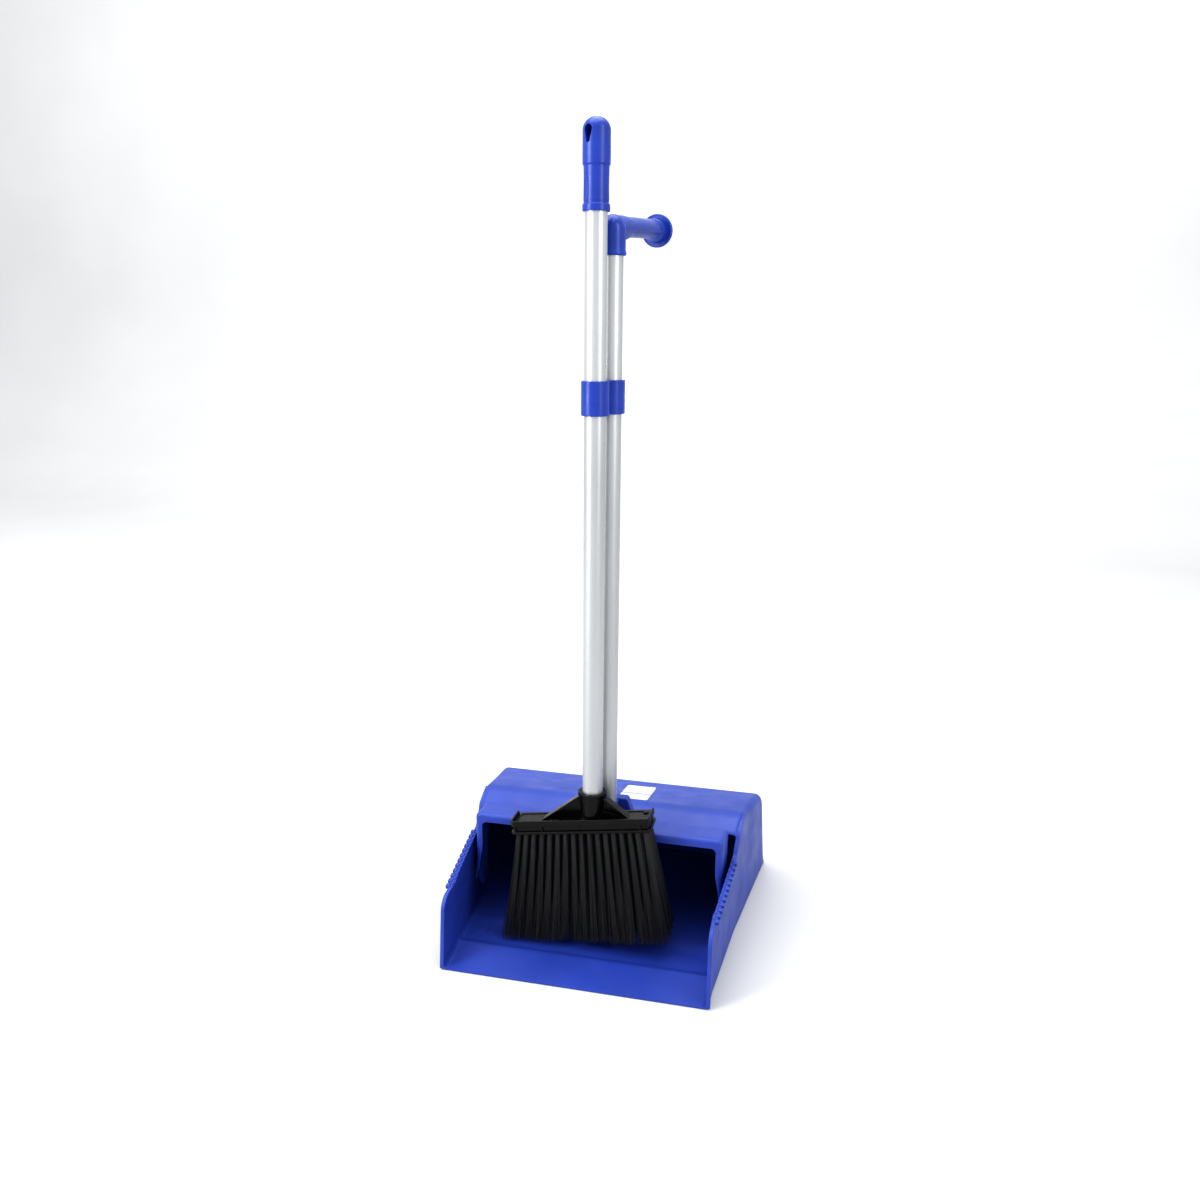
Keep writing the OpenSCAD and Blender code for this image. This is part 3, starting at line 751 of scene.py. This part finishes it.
def build_hood_shell():
    """The hood's plate: a flange that faces forwards, a rolled edge and a skin that runs back."""
    outer, inner = [], []
    edge_r = 4.5
    bend = [math.radians(q) for q in (18, 36, 54, 72, 90)]
    stations = (0.15, 0.35, 0.6, 0.85, 1.0)
    for (ox, oz), (ix, iz) in hood_rows():
        front, back = hood_side_edges(oz) if oz < HOOD_H - 6 else (HOOD_FRONT, HOOD_BACK)
        span = max(back - front, 0.3)
        toward = Vector((ix - ox, iz - oz))
        width = toward.length
        r = min(edge_r, width * 0.9, span * 0.4)
        thick = min(HOOD_T, span * 0.45)
        skin = [(width, 0.0), (lerp(r, width, 0.5), 0.0), (r, 0.0)]
        skin += [(r - r * math.sin(a), r - r * math.cos(a)) for a in bend]
        skin += [(0.0, lerp(r, span, t)) for t in stations]
        inset_r = max(r - thick, 0.05)
        under = [(width, thick), (lerp(r, width, 0.5), thick), (r, thick)]
        under += [(r - inset_r * math.sin(a), r - inset_r * math.cos(a)) for a in bend]
        under += [(HOOD_T, max(lerp(r, span, t), thick)) for t in stations]
        for grid, line in ((outer, skin), (inner, under)):
            row = []
            for m, depth in line:
                t = m / width
                x, z, y = lerp(ox, ix, t), lerp(oz, iz, t), front + depth
                back_share = (y - HOOD_FRONT) / (HOOD_BACK - HOOD_FRONT)
                x *= 1 + (HOOD_HALF_BACK / HOOD_HALF - 1) * back_share
                z *= 1 - HOOD_DROP / HOOD_H * back_share
                row.append(at(x, y, z))
            grid.append(row)
    bm = bmesh.new()
    grid_shell(bm, outer, inner)
    add_piece("hood_shell", bm, PAN_BLUE, "yoke", ("hood_yoke",), sharp=50)


def build_hood_boss():
    """Socket for the tube: a sleeve in front of a broad gusset, with fins down its flanks."""
    bm = bmesh.new()
    x, y = PAN_TUBE
    base = HOOD_H - HOOD_DROP - 1.0
    bore = TUBE_R + 0.05
    profile = [(bore, BOSS_TOP - 0.6), (bore + 0.6, BOSS_TOP), (12.0, BOSS_TOP), (12.7, BOSS_TOP - 0.7),
               (12.8, base + 6), (14.5, base + 1.5), (16.0, base), (bore, base), (bore, BOSS_TOP - 0.6)]
    lathe(bm, profile, moved(x, y, 0), 96)
    rise = BOSS_TOP - base
    gusset = [(-33, 0), (33, 0), (32, 4), (23, rise - 2.5), (20.8, rise),
              (-20.8, rise), (-23, rise - 2.5), (-32, 4)]
    merge_mesh(bm, flat_plate("gusset", [gusset], 11.5, 1.4, along_y(x, y + 18, base)))
    for side in (-1, 1):
        fin = [(0, 0), (14, 0), (13, 3), (1.5, rise - 6), (0, rise - 6)]
        matrix = moved(x + side * 12.6, y + 1.2, base) @ mirrored(side) @ turned(90, "X")
        merge_mesh(bm, flat_plate("fin", [fin], 2.4, 0.6, matrix))
    add_piece("hood_boss", bm, PAN_BLUE, "yoke", sharp=40)


def build_hinge_hub(side, label):
    """Cap over the pin on the inside of a leg."""
    bm = bmesh.new()
    profile = [(0.0, 1.1), (0.0, 0.0), (6.0, 0.0), (7.0, 0.8),
               (7.0, 2.9), (4.05, 2.9), (4.05, 1.1), (0.0, 1.1)]
    lathe(bm, profile, hinge_matrix(side, HOOD_HALF - 2), 64)
    add_piece("hinge_hub_" + label, bm, PAN_BLUE, "yoke")


# ---- Tubes, elbow, grip and clip ----
def build_tube(name, place, z0, z1, body, node):
    """Thin tube with softened ends."""
    bm = bmesh.new()
    inner = TUBE_R - TUBE_WALL
    profile = [(inner, z0 + 0.2), (inner + 0.2, z0), (TUBE_R - 0.25, z0), (TUBE_R, z0 + 0.25)]
    profile += [(TUBE_R, lerp(z0 + 0.25, z1 - 0.25, t)) for t in (0.1, 0.3, 0.5, 0.7, 0.9)]
    profile += [(TUBE_R, z1 - 0.25), (TUBE_R - 0.25, z1), (inner + 0.2, z1), (inner, z1 - 0.2)]
    profile += profile[:1]
    lathe(bm, profile, moved(*place, 0), 96)
    add_piece(name, bm, ALUMINIUM, body, (node,))


def grip_matrix():
    """Local +Z runs along the horizontal grip, from the middle of the pan's tube."""
    turn, lift = math.radians(GRIP_TURN), math.radians(GRIP_LIFT)
    way = Vector((math.sin(turn) * math.cos(lift), math.cos(turn) * math.cos(lift), math.sin(lift)))
    return moved(*PAN_TUBE, GRIP_Z) @ way.to_track_quat("Z", "Y").to_matrix().to_4x4()


def build_elbow():
    """Elbow with a rounded crown, a rim at its foot and a barrel for the grip, fused with small fillets."""
    bm = bmesh.new()
    shoulder, crown = GRIP_Z - 2.5, 15.0
    profile = [(0.0, ELBOW_Z), (ELBOW_R + 0.3, ELBOW_Z), (ELBOW_R + 0.9, ELBOW_Z + 0.8),
               (ELBOW_R + 0.9, ELBOW_Z + 3.0), (ELBOW_R, ELBOW_Z + 4.6), (ELBOW_R, shoulder)]
    for a in (math.radians(q) for q in range(8, 89, 8)):
        profile.append((ELBOW_R * math.cos(a), shoulder + crown * math.sin(a) ** 1.1))
    profile.append((0.0, shoulder + crown + 0.1))
    lathe(bm, profile, moved(*PAN_TUBE, 0), 72)
    barrel = [(0.0, 0.0), (BARREL_R, 0.0), (BARREL_R, 22.8), (BARREL_R - 0.6, 24.0), (0.0, 24.0)]
    lathe(bm, barrel, grip_matrix(), 72)
    elbow = new_object("handle_elbow_body", bm)
    blend_solid(elbow, 0.7, 8)
    finish_piece(elbow, FITTING_BLUE, "yoke", ("handle_elbow",), sharp=75)


def build_grip():
    """Round grip with a flat recess along its lower side and a small ring before the flange."""
    bm = bmesh.new()
    start, end = 24.1, GRIP_REACH - 6.0
    matrix = grip_matrix()
    down = matrix.to_3x3().inverted() @ Vector((0, 0, -1))
    down_angle = math.atan2(down.y, down.x)
    bore, recess_depth, recess_half = 8.1, 2.6, math.radians(76)
    steps = [start + 0.02, start + 0.6] + [lerp(start + 1.2, end - 9.5, t / 30) for t in range(31)]
    steps += [end - 9.0, end - 8.6, end - 8.0, end - 7.2, end - 6.4, end - 6.0, end - 5.4, end - 3, end]
    profile = []
    for z in steps:
        raised = 0.9 * math.exp(-((z - (end - 7.4)) / 1.1) ** 4)
        edge = 0.6 * (1 - clamp01((z - start) / 0.6))
        flare = 1.4 * smooth((z - (end - 5)) / 5)
        profile.append((GRIP_R + raised + flare - edge, z))
    profile = [(bore, start)] + profile + [(bore, end), (bore, start)]

    def radius(r, z, a):
        if r == bore:
            return r
        off = abs((a - down_angle + math.pi) % math.tau - math.pi)
        below = smooth((recess_half - off) / math.radians(4))
        length = smooth((z - start - 3.5) / 4.0) * smooth((end - 10.5 - z) / 3.0)
        return r - recess_depth * below * length

    lathe(bm, profile, matrix, 180, radius)
    add_piece("pan_grip_sleeve", bm, FITTING_BLUE, "yoke", ("pan_grip",), sharp=60)


def build_end_cap():
    """Round flange at the end of the grip: dished towards the hand, with a shallow recess behind."""
    bm = bmesh.new()
    z0, r = GRIP_REACH - 5.9, FLANGE_R
    profile = [(0.0, z0 - 18), (7.6, z0 - 18), (7.9, z0 - 17.4), (7.9, z0 - 0.05),
               (13.2, z0), (14.5, z0 + 0.35), (16.2, z0 - 0.1)]
    profile += arc(r - 1.2, z0 + 1.1, 1.2, -100, 0, 6) + arc(r - 1.8, z0 + 4.2, 1.8, 0, 90, 6)
    profile += [(14.4, z0 + 5.9), (13.4, z0 + 5.2), (11.4, z0 + 4.4), (5.0, z0 + 4.2), (0.0, z0 + 4.2)]
    lathe(bm, profile, grip_matrix(), 96)
    add_piece("grip_flange", bm, FITTING_BLUE, "yoke", ("grip_end_cap",), sharp=45)


def build_clip():
    """Closed ring on the broom's tube, web, and a fork that opens backwards round the pan's tube."""
    gap_x, gap_y = PAN_TUBE[0] - BROOM_TUBE[0], PAN_TUBE[1] - BROOM_TUBE[1]
    heading = math.degrees(math.atan2(gap_y, gap_x))
    outer, inner, web_half = TUBE_R + 3.0, TUBE_R + 0.6, 6.6
    tip_r, tip_x = (outer - inner) / 2, (outer + inner) / 2
    web = math.degrees(math.asin(web_half / outer))
    body = arc(0, 0, outer, heading + web, heading + 360 - web, 56)
    fork_right = arc(gap_x, gap_y, outer, heading - 180 + web, 4, 26)
    tip_right = arc(gap_x + tip_x, gap_y + 2.2, tip_r, 0, 180, 6)
    mouth = arc(gap_x, gap_y, inner, 0, -180, 36)
    tip_left = arc(gap_x - tip_x, gap_y + 2.2, tip_r, 0, 180, 6)
    fork_left = arc(gap_x, gap_y, outer, 176, heading + 180 - web, 22)
    outline = body + fork_right + tip_right + mouth + tip_left + fork_left
    hole = arc(0, 0, TUBE_R + 0.1, 0, 360 - 360 / 64, 63)
    bm = bmesh.new()
    place = moved(*BROOM_TUBE, CLIP_Z - CLIP_H / 2)
    merge_mesh(bm, flat_plate("clip", [outline, hole], CLIP_H, 0.9, place))
    add_piece("tube_clip_body", bm, FITTING_BLUE, "broom", ("tube_clip",), sharp=40)


def build_hand_grip():
    """Domed grip: bulb with a hang hole, slimmer waist with a thumb flute, and a collar."""
    bm = bmesh.new()
    z, r, top = HAND_GRIP_Z, HAND_GRIP_R, BROOM_TOP
    collar = [(TUBE_R - 0.2, z), (r - 0.5, z), (r, z + 0.6), (r, z + 5.8), (r - 0.5, z + 6.6),
              (r - 1.2, z + 7.2), (r - 1.3, z + 8.4), (r - 1.0, z + 9.6)]
    waist = []
    for t in (k / 20 for k in range(21)):
        waist.append((r - 1.0 - 0.2 * math.sin(math.pi * t), lerp(z + 10.5, z + 40.4, t)))
    bulb = [(r - 0.2, z + 41.2), (r, z + 42.4), (r + 0.05, z + 50)]
    dome = 12.4
    profile = collar + waist + bulb + arc(r - dome, top - dome, dome, 0, 90, 18)[1:] + [(0.0, top)]
    flute_at, half_w, flute_depth = math.radians(-136), math.radians(22), 1.0

    def radius(rr, zz, a):
        off = abs((a - flute_at + math.pi) % math.tau - math.pi) / half_w
        along = abs(zz - (z + 20)) / 13.5
        if rr < TUBE_R + 0.5:
            return rr
        return rr - flute_depth * smooth(1.25 - math.hypot(off, along) * 1.15)

    lathe(bm, profile, moved(*BROOM_TUBE, 0), 128, radius)
    grip = new_object("broom_hand_grip_body", bm)
    cut = bmesh.new()
    # a drop-shaped hole that widens towards both mouths
    hole = arc(0, 853.2, 3.8, -12, 192, 16) + arc(0, 844.0, 1.7, 205, 335, 6)
    hole_z, hole_turn = 850.0, -25
    rings = []
    for depth, grow in ((-20, 1.22), (-r, 1.18), (-r + 2.2, 1.0), (r - 2.2, 1.0), (r, 1.18), (20, 1.22)):
        taller = 1 + (grow - 1) * 0.7
        rings.append([Vector((x * grow * MM, depth * MM, (hole_z + (zz - hole_z) * taller) * MM))
                      for x, zz in hole])
    loft(cut, rings)
    cut.transform(moved(*BROOM_TUBE, 0) @ turned(hole_turn, "Z"))
    cutter = new_object("hang_hole_cutter", cut)
    boolean = grip.modifiers.new("hang hole", "BOOLEAN")
    boolean.operation, boolean.object, boolean.solver = "DIFFERENCE", cutter, "EXACT"
    mesh = baked_mesh(grip)
    grip.modifiers.clear()
    grip.data = mesh
    bpy.data.objects.remove(cutter)
    finish_piece(grip, FITTING_BLUE, "broom", ("broom_hand_grip",), sharp=40)


# ---- The broom's head ----
def block_matrix():
    """The block's own frame: x along it, z = 0 on its underside below the tube."""
    return moved(*BROOM_TUBE, BLOCK_Z) @ turned(-BLOCK_TILT, "Y")


def rounded_outline(x0, x1, depth, r):
    """Rectangle with rounded corners, centred in depth."""
    half = depth / 2
    return arc(x1 - r, half - r, r, 0, 90, 8) + arc(x0 + r, half - r, r, 90, 180, 8) \
        + arc(x0 + r, -half + r, r, 180, 270, 8) + arc(x1 - r, -half + r, r, 270, 360, 8)


def build_block():
    """Block of three layers with ribs between them, a rim on top and low pads round the socket."""
    bm = bmesh.new()
    place = block_matrix()

    def above(z):
        return place @ Matrix.Translation((0, 0, z * MM))

    def slab(z, thick, grow, r):
        loop = rounded_outline(-BLOCK_LEFT - grow, BLOCK_RIGHT + grow, BLOCK_D + 2 * grow, r)
        merge_mesh(bm, flat_plate("slab", [loop], thick, 0.6, above(z)))

    slab(0.0, 3.0, 0.6, 5.0)
    slab(1.4, 8.4, -1.8, 4.2)
    slab(8.9, 2.6, 0.0, 5.0)
    # the rim: round the front and both ends, open to the rear
    half, edge, round_r, sunk = BLOCK_D / 2, 2.2, 5.0, 1.4
    x_left, x_right = -BLOCK_LEFT + round_r, BLOCK_RIGHT - round_r
    y_front, y_rear = -half + round_r, half - 4.0
    outside = arc(x_left, y_front, round_r, 180, 270, 8) + arc(x_right, y_front, round_r, 270, 360, 8)
    inside = arc(x_right, y_front, round_r - edge, 360, 270, 8) \
        + arc(x_left, y_front, round_r - edge, 270, 180, 8)
    rim = [(-BLOCK_LEFT, y_rear)] + outside + [(BLOCK_RIGHT, y_rear), (BLOCK_RIGHT - edge, y_rear)] \
        + inside + [(-BLOCK_LEFT + edge, y_rear)]
    merge_mesh(bm, flat_plate("rim", [rim], BLOCK_RIM + sunk, 0.7, above(BLOCK_T - sunk)))
    for side in (-1, 1):
        for x in (-BLOCK_LEFT + 5.2, -BLOCK_LEFT + 36.0, BLOCK_RIGHT - 11.0):
            y = side * (BLOCK_D / 2 - 1.3)
            soft_box(bm, x - 1.1, x + 1.1, y - 1.4, y + 1.4, 1.2, 10.0, place, 0.5)
    # raised bead round the top, and the pads beside the socket
    loop = rounded_outline(-BLOCK_LEFT + 4, BLOCK_RIGHT - 4, BLOCK_D - 8, 4.0)
    hole = rounded_outline(-BLOCK_LEFT + 5.6, BLOCK_RIGHT - 5.6, BLOCK_D - 11.2, 3.0)
    merge_mesh(bm, flat_plate("bead", [loop, hole], 1.2, 0.3, above(11.0)))
    soft_box(bm, -34, -14, -9.5, -5.5, 11.0, 12.6, place, 0.5)
    soft_box(bm, 58, 66, -14, -6, 11.0, 13.0, place, 0.7)
    soft_box(bm, 58, 66, 6, 14, 11.0, 13.0, place, 0.7)
    add_piece("broom_block_body", bm, BLACK, "broom", ("broom_block",), sharp=40)


def build_socket():
    """Tapered socket for the tube, with a rim and two upright lugs."""
    bm = bmesh.new()
    z0, bore = BLOCK_Z + 9, TUBE_R + 0.08
    top = SOCKET_TOP
    profile = [(bore, top - 0.7), (bore + 0.7, top), (14.6, top), (15.3, top - 0.7), (15.3, top - 2.8),
               (14.8, top - 3.6), (12.9, z0 + 8), (13.6, z0 + 4), (15.5, z0 + 1), (bore, z0),
               (bore, top - 0.7)]
    place = moved(*BROOM_TUBE, 0)
    lathe(bm, profile, place, 96)
    for side in (-1, 1):
        soft_box(bm, 12.0, 15.6, -2.6, 2.6, top - 24, top + 0.2, place @ mirrored(side), 0.8)
    add_piece("broom_socket", bm, BLACK, "broom", sharp=40)


def build_gussets():
    """Triangular braces from the socket to the block: a thin web with a flange along its slope."""
    bm = bmesh.new()
    slope_rise = math.tan(math.radians(BLOCK_TILT))
    x0, y0 = BROOM_TUBE
    for reach in (-58.0, 42.0):
        side = math.copysign(1, reach)
        top = (side * 13.2, SOCKET_TOP - 5.5)
        foot_z = BLOCK_Z + BLOCK_T + reach * slope_rise
        web = [(side * 10, foot_z - 8), (reach - side * 3, foot_z - 1.5), (reach - side * 3, foot_z),
               (top[0], top[1] - 1.5), (side * 10, top[1] - 2)]
        if side < 0:
            web.reverse()
        merge_mesh(bm, flat_plate("web", [web], 2.6, 0.5, along_y(x0, y0 + 1.3, 0)))
        a, b = Vector((top[0], top[1])), Vector((reach, foot_z - 0.6))
        length, angle = (b - a).length, math.atan2(b.y - a.y, b.x - a.x)
        flange = moved(x0 + a.x, y0, a.y) @ Matrix.Rotation(-angle, 4, "Y")
        soft_box(bm, -1.0, length, -5.4, 5.4, *((-2.4, 0.3) if side > 0 else (-0.3, 2.4)), flange, 0.7)
        for offset in (-4.3, 4.3):
            foot = [(side * 9, foot_z - 8), (reach - side * 1, foot_z - 1.5),
                    (reach - side * 12, foot_z + 2.5), (side * 9, foot_z + 6.0)]
            if side < 0:
                foot.reverse()
            merge_mesh(bm, flat_plate("skirt", [foot], 1.6, 0.4, along_y(x0, y0 + offset + 0.8, 0)))
    add_piece("socket_gussets", bm, BLACK, "broom", sharp=40)


def tuft_frame(index, row):
    """Root, direction and length of a tuft, as in the CAD model."""
    share = index / (TUFTS - 1)
    x = -BLOCK_LEFT + 7 + (BLOCK_LEFT + BLOCK_RIGHT - 14) * share
    lean = lerp(LEAN_LEFT, LEAN_RIGHT, share)
    root = block_matrix() @ Vector((x * MM, row * ROW_PITCH * MM, 0.4 * MM))
    way = (turned(row * ROW_SPLAY, "X") @ turned(-lean, "Y") @ Vector((0, 0, -1))).normalized()
    length = (root.z / MM - lerp(TRIM_LEFT, TRIM_RIGHT, share)) / -way.z
    return root, way, length


def circle(centre, side, up, r, sides):
    """Ring of points about centre, in the plane of side and up."""
    return [centre + (side * math.cos(a) + up * math.sin(a)) * r
            for a in (math.tau * q / sides for q in range(sides))]


def add_filament(bm, start, way, side, length, thick, curl, sides=3, steps=5):
    """One tapering filament that bends a little towards its tip."""
    up = way.cross(side).normalized()
    rings = []
    for k in range(steps + 1):
        t = k / steps
        centre = start + way * (length * t * MM) + curl * (t ** 2.2 * MM)
        r = thick * lerp(1.0, 0.62, t) * MM
        rings.append(circle(centre, side, up, r, sides))
    loft(bm, rings)


def lumpy(angle, index):
    """Makes the core of a tuft a little uneven round its middle."""
    return 1 + 0.10 * math.sin(5 * angle + index)


def build_tufts(row, name, node):
    """A row of tufts: a dense core in each, wrapped in loose filaments."""
    bm = bmesh.new()
    for index in range(TUFTS):
        root, way, length = tuft_frame(index, row)
        side = way.cross(Vector((0, 1, 0))).normalized()
        up = way.cross(side).normalized()
        sway = Vector((random.gauss(0, 1.5), random.gauss(0, 1.0), 0))
        core = []
        for t, r in ((0.0, 2.2), (0.08, 2.3), (0.3, 2.1), (0.6, 2.1), (0.82, 1.8), (0.92, 0.9)):
            centre = root + way * (length * t * MM) + sway * (t ** 2.2 * MM)
            core.append([centre + (side * math.cos(a) + up * math.sin(a)) * r * lumpy(a, index) * MM
                         for a in (math.tau * q / 20 for q in range(20))])
        loft(bm, core)
        for _ in range(92):
            a, spread = random.uniform(0, math.tau), math.sqrt(random.uniform(0.25, 1.0))
            offset = (side * math.cos(a) + up * math.sin(a)) * spread
            start = root + offset * 2.35 * MM
            reach = length * random.uniform(0.965, 1.0)
            drift = offset * random.uniform(0.6, 3.4)
            drift += Vector((random.gauss(0, 1.5), random.gauss(0, 1.0), 0)) + sway
            aim = (way * reach + offset * 1.3).normalized()
            add_filament(bm, start, aim, side, reach, random.uniform(0.20, 0.30), drift)
    tufts = new_object(name, bm)
    finish_piece(tufts, FILAMENT, "broom", (node,), sharp=70)
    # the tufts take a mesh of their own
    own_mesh(tufts)


# ---- Light, camera and floor ----
def build_stage():
    """Floor that sweeps up into a backdrop, in metres."""
    bm = bmesh.new()
    bend_y, bend_r, top = 2.2, 0.9, 3.6
    sweep = [(-2.6, 0.0), (bend_y, 0.0)]
    for a in (math.radians(q) for q in range(10, 91, 10)):
        sweep.append((bend_y + bend_r * math.sin(a), bend_r - bend_r * math.cos(a)))
    sweep.append((bend_y + bend_r, top))
    points = [Vector((x, y, z - 0.0006)) for y, z in sweep for x in (-4.0, 4.0)]
    faces = [[2 * k, 2 * k + 1, 2 * k + 3, 2 * k + 2] for k in range(len(sweep) - 1)]
    add_faces(bm, points, faces)
    floor = new_object("studio_floor", bm)
    floor.data.materials.append(stage_paint())
    floor.data.shade_smooth()


def area_light(name, place, target, size, power):
    """Rectangular light that faces its target."""
    light = bpy.data.lights.new(name, "AREA")
    light.shape, light.size, light.size_y = "RECTANGLE", size[0], size[1]
    light.energy = power
    obj = add_to_scene(name, light)
    obj.location = place
    obj.rotation_euler = (Vector(target) - Vector(place)).to_track_quat("-Z", "Y").to_euler()


def build_light():
    middle = (0, 0, 0.35)
    area_light("key", (-1.35, -1.25, 1.1), middle, (0.7, 1.9), 28)
    area_light("fill", (1.6, -0.9, 1.2), middle, (0.6, 1.7), 12)
    area_light("top", (-0.1, 0.05, 2.2), (0, 0.0, 0.1), (1.8, 1.5), 23)
    area_light("backdrop light", (-0.8, 1.0, 2.4), (-0.8, 3.0, 0.9), (4.4, 0.8), 60)
    world = bpy.data.worlds.new("studio")
    world.use_nodes = True
    background = world.node_tree.nodes["Background"]
    background.inputs["Color"].default_value = (0.95, 0.97, 1.0, 1)
    background.inputs["Strength"].default_value = 0.85
    scene = bpy.context.scene
    scene.world = world
    scene.view_settings.view_transform = "Standard"
    scene.view_settings.look = "High Contrast"


def build_camera():
    camera = bpy.data.cameras.new("camera")
    camera.sensor_width, camera.lens = SENSOR, CAMERA_LENS
    camera.clip_start, camera.clip_end = 0.05, 20
    obj = add_to_scene("camera", camera)
    yaw, pitch, roll = CAMERA_YAW, CAMERA_PITCH, CAMERA_ROLL
    right = Vector((math.cos(yaw), math.sin(yaw), 0))
    ahead = Vector((-math.sin(yaw) * math.cos(pitch), math.cos(yaw) * math.cos(pitch), -math.sin(pitch)))
    up = right.cross(ahead)
    across = right * math.cos(roll) + up * math.sin(roll)
    upright = up * math.cos(roll) - right * math.sin(roll)
    turn = Matrix((across, upright, -ahead)).transposed().to_4x4()
    obj.matrix_world = moved(*CAMERA_AT) @ turn
    bpy.context.scene.camera = obj


# ---- Assembly ----
build_pan_shell()
for side, label in ((-1, "left"), (1, "right")):
    build_rim(side, label)
    build_comb(side, label)
    build_hinge_boss(side, label)
    build_hinge_hub(side, label)
build_floor_ribs()
build_label()
build_hood_shell()
build_hood_boss()
build_tube("pan_tube_metal", PAN_TUBE, HOOD_H, 770.0, "yoke", "pan_tube")
build_tube("broom_tube_metal", BROOM_TUBE, BLOCK_Z + BLOCK_T + 5, 832.0, "broom", "broom_tube")
build_elbow()
build_grip()
build_end_cap()
build_clip()
build_hand_grip()
build_block()
build_socket()
build_gussets()
for row, name in ((-1.5, "front"), (-0.5, "second"), (0.5, "third"), (1.5, "rear")):
    build_tufts(row, "bristles_" + name, f"tufts_{name}_row")

# the metal fittings keep their exact CAD meshes
for node in ("pivot_pin_left", "pivot_pin_right", "boss_screw", "elbow_screw", "socket_screw",
             "tuft_anchors"):
    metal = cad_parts[node]
    metal.data.materials.clear()
    metal.data.materials.append(STEEL)

build_stage()
build_light()
build_camera()
